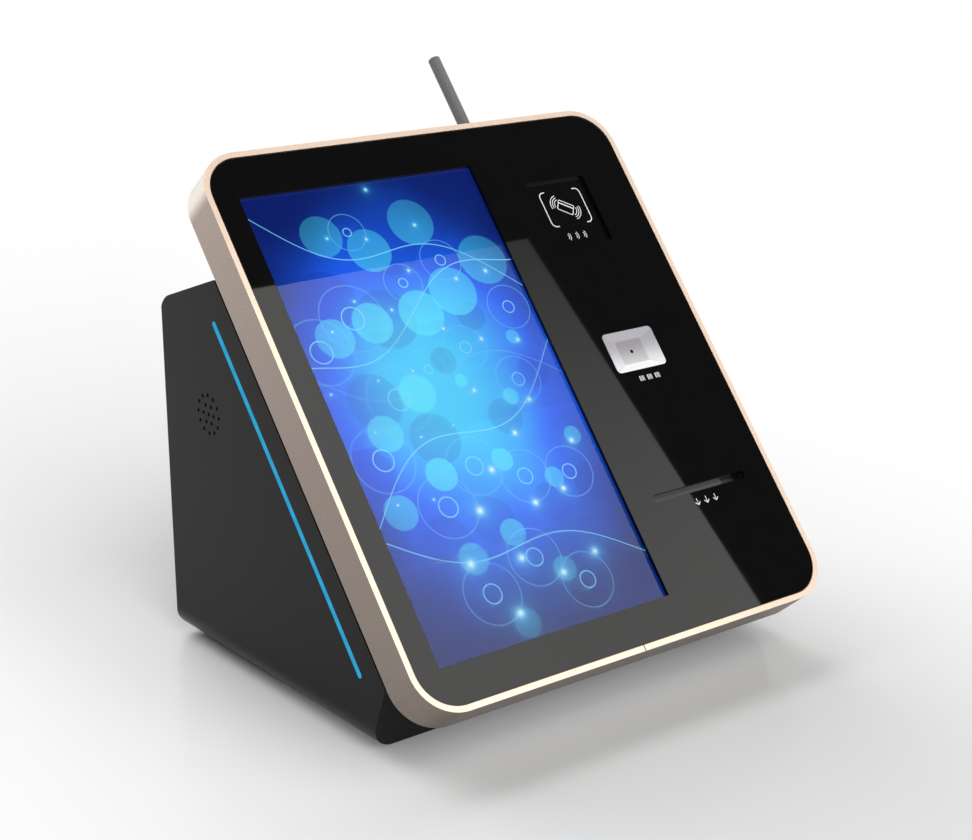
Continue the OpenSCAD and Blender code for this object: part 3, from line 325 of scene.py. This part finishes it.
# %% [markdown]
# ## Plastic, rubber, paper and boards
# Moulded plastic differs mostly in colour and in how fine its skin is, so one formula serves them all. A
# wound roll of paper shows its layers on the end faces as fine rings. A circuit board is green lacquer over
# copper tracks, which stand out as a faint grid of lines. Rings and tracks could be cut into the mesh, but
# they are far too fine to matter there: a sine wave of the distance draws them.

# %% Plastics and the rest
RING_RATE, TRACK_RATE = 9000.0, 1400.0    # radians of the sine wave per metre


def moulded(first, second, roughness, grain_scale=1200.0, strength=0.06):
    def build(place):
        grain = place.noise(grain_scale)
        return place.principled(Base_Color=grain.rise(0.3, 0.7).blend(first, second),
                                Roughness=grain * 0.08 + roughness, Normal=place.bump(grain, strength))
    return build


def paper(place):
    low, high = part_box("paper_roll")
    side_on = Vector((0.0, 1.0, 1.0))
    radius = place.stretch(side_on).distance((low + high) / 2 * side_on)
    layer = (radius * RING_RATE).sine() * 0.5 + 0.5
    return place.principled(Base_Color=layer.blend(rgb(226, 224, 218), rgb(243, 242, 238)), Roughness=0.85)


def board(place):
    def tracks(direction):
        return abs((place.along(direction) * TRACK_RATE).sine()).rise(0.93, 0.97)
    copper = tracks(u_axis).most(tracks(v_axis)) * place.noise(90.0).rise(0.45, 0.55)
    return place.principled(Base_Color=copper.blend(rgb(22, 84, 52), rgb(60, 128, 84)), Roughness=0.4)


add_surfaces(
    dark_plastic=moulded(rgb(24, 24, 24), rgb(31, 31, 31), 0.45),
    pale_plastic=moulded(rgb(172, 171, 175), rgb(178, 177, 181), 0.28, 700.0, 0.02),
    white_plastic=moulded(rgb(226, 226, 220), rgb(238, 238, 232), 0.4),
    rod_plastic=moulded(rgb(108, 108, 108), rgb(114, 114, 114), 0.45, 900.0, 0.01),
    rubber=moulded(rgb(26, 26, 26), rgb(38, 38, 38), 0.75, 600.0, 0.2),
    card=moulded(rgb(176, 150, 116), rgb(196, 170, 134), 0.8, 400.0),
    paper=paper,
    board=board,
)
print(len(surfaces), "surfaces so far")

# %% [markdown]
# ## Small printed marks
# Under the reader, the scanner and the slot stand white marks, printed on the back of the glass. Plain
# shapes are used where captions would be: waves for the reader, bars for the scanner and arrows for the
# slot. Text objects could stand there, but three copies of one small shape need no lettering: the distance
# to the nearest copy is enough, and the shape is written once.

# %% Small marks
MARK_PITCH, ARROW_PITCH = 7.4, 8.6
WAVE_SOURCE, WAVE_REACHES = -2.2, (2.6, 4.2)
BARS = ((-1.7, 0.42), (-0.3, 0.2), (0.7, 0.3), (1.9, 0.24))    # middle and half width of each
column_u = panel_middle("reader_cover").x


def column_place(place, at):
    """Millimetres from a point that counts from the column's middle to the right, and up the panel."""
    return panel_place(place, column_u + at[0], at[1])


def three_marks(place, at, shape, pitch=MARK_PITCH):
    """One small shape drawn three times, side by side."""
    a, b = column_place(place, at)
    apart = a - (a / pitch).rounded().least(1.0).most(-1.0) * pitch
    return shape(apart, b)


def radio_wave(a, b):
    ahead = a - WAVE_SOURCE
    reach = (ahead ** 2.0 + b ** 2.0).root()
    return together(line(reach - r, 0.26) for r in WAVE_REACHES) * (ahead - abs(b)).rise(0.0, 0.15)


def code_bars(a, b):
    return together(line(a - at, half) for at, half in BARS) * (1.0 - abs(b).rise(1.9, 2.05))


def down_arrow(a, b):
    head = line((abs(a) * 0.9 - b - 2.3) * 0.74, 0.32) * (1.0 - abs(a).rise(2.2, 2.4))
    stem = line(a, 0.28) * abs(b - 0.2).rise(2.65, 2.5)
    return head.most(stem)


print("the column of devices is at u =", round(column_u, 2), "mm, its marks", MARK_PITCH, "mm apart")

# %% [markdown]
# ## Card mark
# On the reader's glass a card between two brackets shows where to hold a card, with radio waves at both its
# ends. The card leans, so the formula first turns the coordinates; a turned copy of a mesh would do the
# same, but would lie in front of the glass instead of behind it. One wave serves both ends, because only
# the distance from the card's middle counts.

# %% Card mark
BRACKET, CARD = (19.2, 14.5, 4.0), (6.6, 4.2, 0.8)    # half width, half height and corner of each
CARD_LEAN, CARD_SOURCE, CARD_REACHES = math.radians(32), 5.0, (4.6, 6.4, 8.2)


def card_mark(place, at):
    """A leaning card with waves at both ends, between two brackets."""
    a, b = column_place(place, at)
    bracket = line(box_distance(a, b, *BRACKET), 0.42) * abs(a).rise(13.2, 13.6)
    along = a * math.cos(CARD_LEAN) - b * math.sin(CARD_LEAN)
    over = a * math.sin(CARD_LEAN) + b * math.cos(CARD_LEAN)
    card = line(box_distance(along, over, *CARD), 0.34)
    stripe = line(over - 1.7, 0.5) * (1.0 - abs(along).rise(6.3, 6.6))
    ahead = abs(along) - CARD_SOURCE
    reach = (ahead ** 2.0 + over ** 2.0).root()
    waves = together(line(reach - r, 0.3) for r in CARD_REACHES) * (ahead - abs(over) * 0.9).rise(0.0, 0.1)
    return together((bracket, card, stripe, waves))


print("the brackets are", 2 * BRACKET[0], "by", 2 * BRACKET[1], "mm")

# %% [markdown]
# ## Black glass and the slot's pocket
# The front plate is clear glass with black ink on its back, so it looks like a black mirror, and white
# marks printed before the black show through. Ink and glass could be two layers; as nothing is seen between
# them, one glossy black surface is enough. The ticket slot's pocket is moulded and polished; its colour
# holds painted shade on the walls and painted light on the greyer bottom.

# %% Black glass and pocket
POCKET_DEPTH = 13.5
CARD_AT, WAVES_AT, BARS_AT, ARROWS_AT = (1.5, 127.7), (-0.7, 103.6), (2.2, -17.8), (0.8, -117.4)


def black_glass(marks):
    def build(place):
        smear = place.noise(60.0)
        colour = smear.blend(rgb(8, 8, 8), rgb(10, 10, 10))
        colour = marks(place).blend(colour, rgb(226, 226, 226))
        return place.principled(Base_Color=colour, Roughness=smear * 0.02 + 0.01, IOR=1.5)
    return build


def plate_marks(place):
    bars = three_marks(place, BARS_AT, code_bars)
    return bars.most(three_marks(place, ARROWS_AT, down_arrow, ARROW_PITCH))


def reader_marks(place):
    return card_mark(place, CARD_AT).most(three_marks(place, WAVES_AT, radio_wave))


def pocket(place):
    smear = place.noise(60.0)
    # Painted shade on the pocket's walls and painted light on its bottom.
    painted_light_bottom = panel_out(place).rise(0.3 - POCKET_DEPTH, 0.1 - POCKET_DEPTH)
    colour = (painted_light_bottom * 0.9 + smear * 0.1).blend(rgb(29, 29, 29), rgb(82, 82, 82))
    return place.principled(Base_Color=colour, Roughness=smear * 0.02 + 0.01, IOR=1.65)


add_surfaces(
    black_panel=black_glass(plate_marks),
    reader_glass=black_glass(reader_marks),
    pocket_gloss=pocket,
)
print("the pocket is", POCKET_DEPTH, "mm deep;", len(surfaces), "surfaces so far")

# %% [markdown]
# ## Even layouts
# The picture on the screen is plain decoration, and its discs, rings and points have to spread evenly
# without a visible grid. Random places would leave clumps and gaps. A spiral that turns by the golden angle
# from one item to the next, as seeds lie in a sunflower, leaves none.

# %% Golden spirals
GOLDEN_ANGLE = math.pi * (3 - math.sqrt(5))
GOLDEN_SHARE = (math.sqrt(5) - 1) / 2
SPREAD_U, SPREAD_V = 0.8, 1.45


def spiral(count, start, spacing):
    """Places along a golden spiral, stretched to the screen's height, and a size from 0 to 1 for each."""
    for i in range(count):
        angle, reach = start + i * GOLDEN_ANGLE, spacing * math.sqrt(i + 0.6)
        place = (reach * math.cos(angle) * SPREAD_U, reach * math.sin(angle) * SPREAD_V, 0.0)
        yield place, i * GOLDEN_SHARE % 1


print("each item turns by", round(math.degrees(GOLDEN_ANGLE), 2), "degrees from the one before")

# %% [markdown]
# ## The lit screen
# The display gives off its own light, so its picture is emission rather than paint. It is a blue field that
# brightens towards the middle, with soft discs and rings of several sizes, waving lines and small bright
# points. An image file could carry it, but formulas stay sharp at any size and need no file.

# %% Screen picture
DARK_DISCS, PALE_DISCS = (16, 1.2, 29.0), (22, 0.5, 25.0)    # how many, first angle and spacing
RINGS, POINTS = (18, 2.1, 27.0), (34, 4.0, 20.0)
WAVES = ((26.0, 14.0, 0.35, 70.0), (29.0, -18.0, 0.5, -24.0), (29.0, 12.0, -0.25, -110.0),
         (29.0, 16.0, -0.4, 118.0))    # length, bend, slope and height of each
FAINT_WAVE, STROKE = (33.0, 20.0, -0.2, 20.0), 0.42
GLOW_U, GLOW_V, GLOW_W, GLOW_H = -2.0, 8.0, 160.0, 200.0    # middle and reach of the bright part
screen = panel_middle("lcd_panel")


def wave(across, up, length, bend, slope, height):
    return line(up - (across / length).sine() * bend - across * slope - height, STROKE)


def lit(place, colour):
    """A surface that only gives off light of its own."""
    return place.principled(Base_Color=BLACK, Emission_Color=colour, Emission_Strength=1.0,
                            Roughness=0.5, Specular_IOR_Level=0.0)


def picture(place):
    across, up = panel_place(place, screen.x, screen.y)
    at = place.node("ShaderNodeCombineXYZ", {0: across, 1: up})

    def disc(centre, radius):
        return 1.0 - at.distance(centre).rise(radius - 0.5, radius + 0.5)

    def circles(least, span):
        places = spiral(*RINGS)
        return [line(at.distance(centre) - (least + span * size), STROKE) for centre, size in places]

    reach = (((across - GLOW_U) / GLOW_W) ** 2.0 + ((up - GLOW_V) / GLOW_H) ** 2.0).root()
    glow = 1.0 - reach.rise(0.0, 1.0)
    field = glow * 0.95 + place.noise(14.0, 1.0) * 0.3 - 0.12
    colour = field.rise(0.0, 0.6).blend(rgb(10, 26, 104), rgb(30, 96, 248))
    colour = field.rise(0.45, 1.0).blend(colour, rgb(56, 205, 255))
    for centre, size in spiral(*DARK_DISCS):
        colour = (disc(centre, 10.0 + 15.0 * size) * 0.24).blend(colour, rgb(12, 40, 160))
    for centre, size in spiral(*PALE_DISCS):
        colour = (disc(centre, 5.0 + 15.0 * size) * (glow * 0.62 + 0.1)).blend(colour, rgb(84, 232, 255))
    faint = together([wave(across, up, *FAINT_WAVE)] + circles(14.0, 12.0))
    colour = (faint * 0.35).blend(colour, rgb(120, 206, 255))
    bright = together([wave(across, up, *shape) for shape in WAVES] + circles(3.0, 6.0))
    colour = (bright * 0.8).blend(colour, rgb(130, 220, 255))
    for centre, size in spiral(*POINTS):
        halo = 1.0 / (1.0 + (at.distance(centre) / (0.9 + 3.2 * size * size)) ** 2.0)
        colour = halo.blend(colour, rgb(60, 190, 255))
        colour = (halo * halo * halo).blend(colour, rgb(225, 252, 255))
    return lit(place, colour)


add_surfaces(display=picture)
print("screen middle at u =", round(screen.x, 2), "v =", round(screen.y, 2), "mm")

# %% [markdown]
# ## Cover glass and light strip
# The cover over the screen is clear glass: it mirrors the room and lets the display's light through. Plain
# transparency would lose the mirror image, so the shader transmits. The strip in the body's side is a milky
# bar lit from behind, and its tone wavers a little from lamp to lamp. Real small lamps behind it would need
# many more samples for the same look, so the bar itself gives the light.

# %% Cover glass and light strip
LAMP_RATE = 0.38    # radians of the sine wave per millimetre


def clear_glass(place):
    smear = place.noise(50.0)
    return place.principled(Base_Color=WHITE, Roughness=smear * 0.004, IOR=1.5, Transmission_Weight=1.0)


def glow_strip(place):
    tone = (place.along(v_axis * MM) * LAMP_RATE).sine() * 0.5 + 0.5
    return lit(place, tone.blend(rgb(45, 158, 205), rgb(52, 165, 211)))


add_surfaces(clear_glass=clear_glass, glow_blue=glow_strip)
print(len(surfaces), "surfaces ready")

# %% [markdown]
# ## Dressing the pieces
# The record says which finish each piece has, so the surfaces go on by that list; giving them out by hand
# would leave room for a piece that is forgotten. Two pieces share a finish with others, but have a look of
# their own: the reader's cover carries its mark, and the slot's pocket is polished, with painted shade on
# its walls and painted light on its bottom.

# %% Dress the pieces
for entry in frame["record"]["subparts"]:
    piece = nodes[entry["node"]]
    piece.data.materials.clear()
    piece.data.materials.append(surfaces[entry["material_slot"]])
nodes["reader_cover"].data.materials[0] = surfaces["reader_glass"]
nodes["ticket_mouth"].data.materials[0] = surfaces["pocket_gloss"]

# %% [markdown]
# ## The rear door's edges
# The folded edges of the rear door are never quite sharp: a narrow rounding catches light along them. It
# could be part of the solid, where so small a rounding only costs time; a bevel modifier is enough. The
# door's flat faces come as triangles, so they are first joined and merged, and the bevel then finds only
# the true edges.

# %% Rear door's edges
JOIN, FLAT, EDGE_ANGLE, EDGE_W = 0.00001, math.radians(0.5), math.radians(40), 0.5 / MM
door = nodes["rear_door"]
weld = door.modifiers.new("join", "WELD")
weld.merge_threshold = JOIN
merge = door.modifiers.new("flatten", "DECIMATE")
merge.decimate_type = "DISSOLVE"
merge.angle_limit = FLAT
bevel = door.modifiers.new("edges", "BEVEL")
bevel.width = EDGE_W
bevel.segments = 2
bevel.limit_method = "ANGLE"
bevel.angle_limit = EDGE_ANGLE
bevel.harden_normals = True
print("softened edges on", [o.name for o in nodes.values() if o.modifiers])

# %% [markdown]
# ## Scanner dish: its outlines
# The scanner looks out through a small hole in a moulded dish, whose sloping walls guide the code to the
# right place. All its edges are soft, and the wall around the hole is thinned from behind. Cutting it from
# a block with booleans and a bevel would leave uneven faces in the corners. The dish is a stack of outlines
# instead, each at its own depth: up through the hole, across the floor, up the walls, over the rim and down
# the outside. Two outlines in one plane can be bridged crosswise, so such pairs differ by a small draft.

# %% Dish outlines
DISH_W, DISH_H, DISH_R = 47.4, 31.8, 3.5
FLOOR_W, FLOOR_H, HOLE, WELL = 22.3, 17.3, 2.8, 9.0
SINK, FLOOR, BACK, LIP, DRAFT = 0.5, 4.0, 6.0, 0.4, 0.05
LAP_WIDTH, LAP_DEPTH = 3.5, 3.5
CORNER_STEPS = 8
dish_at = panel_middle("scanner_bezel")


def outline(w, h, r, depth):
    """Rounded rectangle around the dish's middle."""
    points = []
    for i, (x, y) in enumerate([(1, 1), (-1, 1), (-1, -1), (1, -1)]):
        for k in range(CORNER_STEPS + 1):
            turn = (i + k / CORNER_STEPS) * math.pi / 2
            a, b = x * (w / 2 - r) + r * math.cos(turn), y * (h / 2 - r) + r * math.sin(turn)
            points.append(on_panel(dish_at.x + a, dish_at.y + b, -depth))
    return points


def ring(d, depth):
    """The same for a circle, with as many corners."""
    return outline(d, d, d / 2 - 0.01, depth)


def flange(depth):
    """The lap behind the plate, wider than the dish all round."""
    return outline(DISH_W + 2 * LAP_WIDTH, DISH_H + 2 * LAP_WIDTH, DISH_R + LAP_WIDTH, depth)


# First the hole, then the floor's soft edge, the soft rim and the lap.
stack = [ring(WELL, BACK), ring(WELL, FLOOR + LIP), ring(HOLE, FLOOR + LIP - DRAFT)]
stack += [ring(HOLE, FLOOR + 3 * DRAFT), ring(HOLE + 4 * DRAFT, FLOOR + DRAFT)]
for wider, taller, r, lift in ((0.0, 0.0, 0.8, 0.0), (0.9, 0.9, 1.2, 0.08), (2.0, 1.8, 1.5, 0.35)):
    stack.append(outline(FLOOR_W + wider, FLOOR_H + taller, r, FLOOR - lift))
for less_w, less_h, r, fall in ((2.2, 1.9, 3.0, 0.5), (1.3, 1.2, 3.2, 0.14), (0.6, 0.6, 3.3, 0.0),
                                (0.2, 0.2, 3.4, 0.1), (0.0, 0.0, DISH_R, 0.4)):
    stack.append(outline(DISH_W - less_w, DISH_H - less_h, r, SINK + fall))
stack += [outline(DISH_W, DISH_H, DISH_R, LAP_DEPTH), flange(LAP_DEPTH + DRAFT), flange(BACK - DRAFT)]
print("the dish has", len(stack), "outlines with", len(stack[0]), "corners each")

# %% [markdown]
# ## Scanner dish: its plastic
# The dish is smooth pale grey plastic. Light comes in from above and is thrown to and fro in so small a
# hollow, so the dish looks paler towards the lower edge, palest on the lower wall and darker on the floor.
# Light paths alone show this only faintly, so the colour itself carries it as painted light towards the
# lower edge and on the lower wall, and as painted shade on the floor.

# %% Dish plastic
PAINTED_LIGHT_BELOW = (8.0, -18.0)    # millimetres above the dish's middle


def dish_plastic(place):
    across, above = panel_place(place, dish_at.x, dish_at.y)
    grain = place.noise(700.0)
    # Painted light: paler towards the lower edge.
    colour = (above.rise(*PAINTED_LIGHT_BELOW) + grain * 0.04).blend(rgb(155, 153, 158), rgb(230, 229, 232))
    # Painted light on the lower wall.
    beside = ((abs(across) - FLOOR_W / 2) / (DISH_W - FLOOR_W)).most(0.0)
    below = (-above - FLOOR_H / 2) / (DISH_H - FLOOR_H)
    lower_wall_light = (below - beside).rise(0.0, 0.08)
    colour = (lower_wall_light * 0.75).blend(colour, WHITE)
    # Painted shade on the floor of the dish.
    deep = panel_out(place).rise(SINK - FLOOR, 0.1 - FLOOR)
    return place.principled(Base_Color=(deep * 0.22).blend(colour, BLACK), Roughness=grain * 0.08 + 0.28,
                            Normal=place.bump(grain, 0.02))


pale = surface("dish_plastic", dish_plastic)
print("the dish's plastic has", len(pale.node_tree.nodes), "nodes")

# %% [markdown]
# ## Scanner dish: its mesh
# Each outline becomes a closed loop of edges, and each loop is bridged to the next, the last one to the
# first. Faces could be listed corner by corner, but the bridge does that for any two loops. Faces that lie
# along the panel are shaded flat and all others smooth, except across sharp edges. The dish takes the place
# of the solid model's bezel, whose edges are sharp.

# %% Dish mesh
SHARP, FLAT_ON = math.radians(50), 0.999


def add_object(name, shape, material):
    """A new object from a finished bmesh."""
    made = bpy.data.objects.new(name, bpy.data.meshes.new(name))
    shape.to_mesh(made.data)
    shape.free()
    made.data.materials.append(material)
    scene.collection.objects.link(made)
    return made


shape = bmesh.new()
loops = []
for points in stack:
    corners = [shape.verts.new(p) for p in points]
    loops.append([shape.edges.new((corners[i - 1], corners[i])) for i in range(len(corners))])
for first, second in zip(loops, loops[1:] + loops[:1]):
    bmesh.ops.bridge_loops(shape, edges=first + second)
bmesh.ops.recalc_face_normals(shape, faces=shape.faces)
dish = add_object("scanner_dish", shape, pale)
dish.data.set_sharp_from_angle(angle=SHARP)
for face in dish.data.polygons:
    face.use_smooth = abs(face.normal.dot(n_axis)) < FLAT_ON
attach(dish, "body")
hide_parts("scanner_bezel")
print("dish has", len(dish.data.polygons), "faces, around u v", round(dish_at.x, 2), round(dish_at.y, 2))

# %% [markdown]
# ## Floor
# The kiosk stands on a white, slightly glossy sweep. Close by, the floor takes the kiosk's soft shadow and
# a faint mirror image; far away it runs out into plain white, so no horizon shows. A real sweep curves up
# behind the object, but then its tone depends on every lamp. A flat floor that turns into white light is
# easier to keep even. A trace of that white also lightens the deepest shadow, in front of the body.

# %% Floor
HALF_FLOOR = 6.0
FAR, RIGHT, LEFT = (0.65, 1.8), (0.05, 0.62), (-0.22, -0.5)    # metres over which the white comes in
SHADOW_FRONT, SHADOW_BACK, SHADOW_WHITE = (-0.205, -0.15), (0.08, -0.12), 0.11
TO_CAMERA, NEARING_SHADE = (0.35, -0.94, 0.0), (-0.45, 0.3)


def floor_surface(place):
    across, depth = place.along((1.0, 0.0, 0.0)), place.along((0.0, 1.0, 0.0))
    away = together((place.distance((0.0, 0.0, 0.0)).rise(*FAR), across.rise(*RIGHT), across.rise(*LEFT)))
    away = away.most(depth.rise(*SHADOW_FRONT) * depth.rise(*SHADOW_BACK) * SHADOW_WHITE)
    # Painted shade: the floor's colour darkens towards the camera, deepening the shadow in front.
    tone = place.along(TO_CAMERA).rise(*NEARING_SHADE) * -0.15 + place.noise(3.0, 1.0) * 0.01 + 0.92
    near = place.principled(Base_Color=tone.blend(BLACK, WHITE), Roughness=0.02, IOR=1.22)
    far = place.node("ShaderNodeEmission", {"Color": WHITE, "Strength": 1.0})
    return place.node("ShaderNodeMixShader", {0: away, 1: near, 2: far})


shape = bmesh.new()
bmesh.ops.create_grid(shape, x_segments=1, y_segments=1, size=HALF_FLOOR)
floor = add_object("floor", shape, surface("floor_white", floor_surface))
print("floor", [round(side, 1) for side in floor.dimensions[:2]], "m")

# %% [markdown]
# ## Camera
# The camera stands in front of the kiosk, to the left and about 0.6 metres above the floor, with a longish
# lens. It could be aimed at a target, but then its roll would be lost. Its place and its sideways and
# upward directions are given in the panel's directions, which fixes all three turns.

# %% Camera
EYE = Vector((-834.0, -368.2, 1043.1))
SIDEWAYS, UPWARD = Vector((0.790415, -0.395636, 0.467671)), Vector((0.185181, 0.882059, 0.433221))
FOCAL_PIXELS, PICTURE_WIDTH, SENSOR = 1989.64, 972, 36.0
NEAREST, FARTHEST = 0.05, 50.0
right, up = panel.to_3x3() @ SIDEWAYS, panel.to_3x3() @ UPWARD
camera = bpy.data.objects.new("camera", bpy.data.cameras.new("camera"))
camera.data.sensor_width = SENSOR
camera.data.lens = SENSOR * FOCAL_PIXELS / PICTURE_WIDTH
turn = Matrix((right, up, right.cross(up))).transposed()
camera.matrix_world = Matrix.Translation(on_panel(*EYE)) @ turn.to_4x4()
camera.data.clip_start, camera.data.clip_end = NEAREST, FARTHEST
scene.collection.objects.link(camera)
scene.camera = camera
print("camera at", [round(x, 3) for x in on_panel(*EYE)], "lens", round(camera.data.lens, 2), "mm")

# %% [markdown]
# ## Soft box
# A large soft box hangs in front of the panel and shows as a pale field in the glass. An area lamp would
# light the glass evenly; a mesh that gives off light can fade towards its edges, as a real soft box does.
# Its corners follow the mirror rule: a line from the camera's mirror image through a point of the glass
# meets the box where that point's reflection comes from.

# %% Soft box
BOX_N = 1500.0    # millimetres in front of the glass
SEEN = ((59, 106.4), (-420, 100.5), (-420, -420), (148.6, -420))    # its corners as the glass shows them
BOX_FALL, BOX_INWARD = 1.28, 0.6
BOX_TINT, BOX_STRENGTH = (1.0, 0.985, 0.965, 1.0), 2.7
mirror = Vector((EYE.x, EYE.y, -EYE.z))
lengthen = (BOX_N - mirror.z) / -mirror.z
box_corners = [on_panel(*(mirror + (Vector((u, v, 0)) - mirror) * lengthen)) for u, v in SEEN]


def box_light(place):
    drop = (box_corners[0].dot(v_axis) - place.along(v_axis)) / BOX_FALL
    inward = (box_corners[0].dot(u_axis) - place.along(u_axis)) / BOX_INWARD
    edge, even = drop.rise(-0.3, 0.7) * 0.54 + 0.1, inward.rise(0.0, 1.0)
    colour = (edge * (1.0 - even) + even * 0.7).blend(BLACK, BOX_TINT)
    return place.node("ShaderNodeEmission", {"Color": colour, "Strength": BOX_STRENGTH})


shape = bmesh.new()
shape.faces.new([shape.verts.new(p) for p in box_corners])
softbox = add_object("softbox", shape, surface("softbox_light", box_light))
softbox.visible_shadow = False
print("soft box corners", [[round(x, 2) for x in p] for p in box_corners])

# %% [markdown]
# ## Two broad lamps
# A broad, soft key light from the front brightens the panel and the floor without showing in the glass, and
# a second one from behind throws the soft shadow forward. Two more soft boxes could do this, but a distant
# lamp with a wide angle lights near and far things alike, as a large studio does.

# %% Two broad lamps
def lamp(name, toward, energy, spread):
    """A distant lamp in the direction toward, as wide as spread in degrees."""
    made = bpy.data.objects.new(name, bpy.data.lights.new(name, "SUN"))
    made.data.energy, made.data.angle = energy, math.radians(spread)
    made.rotation_euler = Vector(toward).to_track_quat("Z", "Y").to_euler()
    made.visible_glossy = False
    scene.collection.objects.link(made)
    return made


key = lamp("key", toward=(0.0, -0.87, 0.5), energy=2.65, spread=60)
back = lamp("back", toward=(-0.09, 0.74, 0.67), energy=2.3, spread=60)
print("lamps of", round(key.data.energy, 2), "and", round(back.data.energy, 2), "W per square metre")

# %% [markdown]
# ## Room
# The room is white up to some height, as a studio sweep is, and dark above. A white room would wash out the
# shadows if it lit them, so only the camera, mirror images and glass see the white; everything else gets a
# little even grey light from it.

# %% Room
SWEEP_TOP, CEILING, FILL = (0.35, 0.5), (0.04, 0.04, 0.04, 1.0), (0.12, 0.12, 0.12, 1.0)
world = bpy.data.worlds.new("room")
scene.world = world
world.use_nodes = True
tree = world.node_tree
tree.nodes.clear()
toward = Wire(tree, tree.nodes.new("ShaderNodeTexCoord").outputs["Generated"])
path = tree.nodes.new("ShaderNodeLightPath")
rays = ("Is Camera Ray", "Is Glossy Ray", "Is Transmission Ray")
seen = together(Wire(tree, path.outputs[name]) for name in rays)
sweep = toward.along((0.0, 0.0, 1.0)).rise(*SWEEP_TOP).blend(WHITE, CEILING)
shown = seen.node("ShaderNodeBackground", {"Color": seen.blend(FILL, sweep), "Strength": 1.0})
tree.links.new(shown.socket, tree.nodes.new("ShaderNodeOutputWorld").inputs["Surface"])
scene.view_settings.view_transform = "Standard"
print("room set, view transform", scene.view_settings.view_transform)

# %% [markdown]
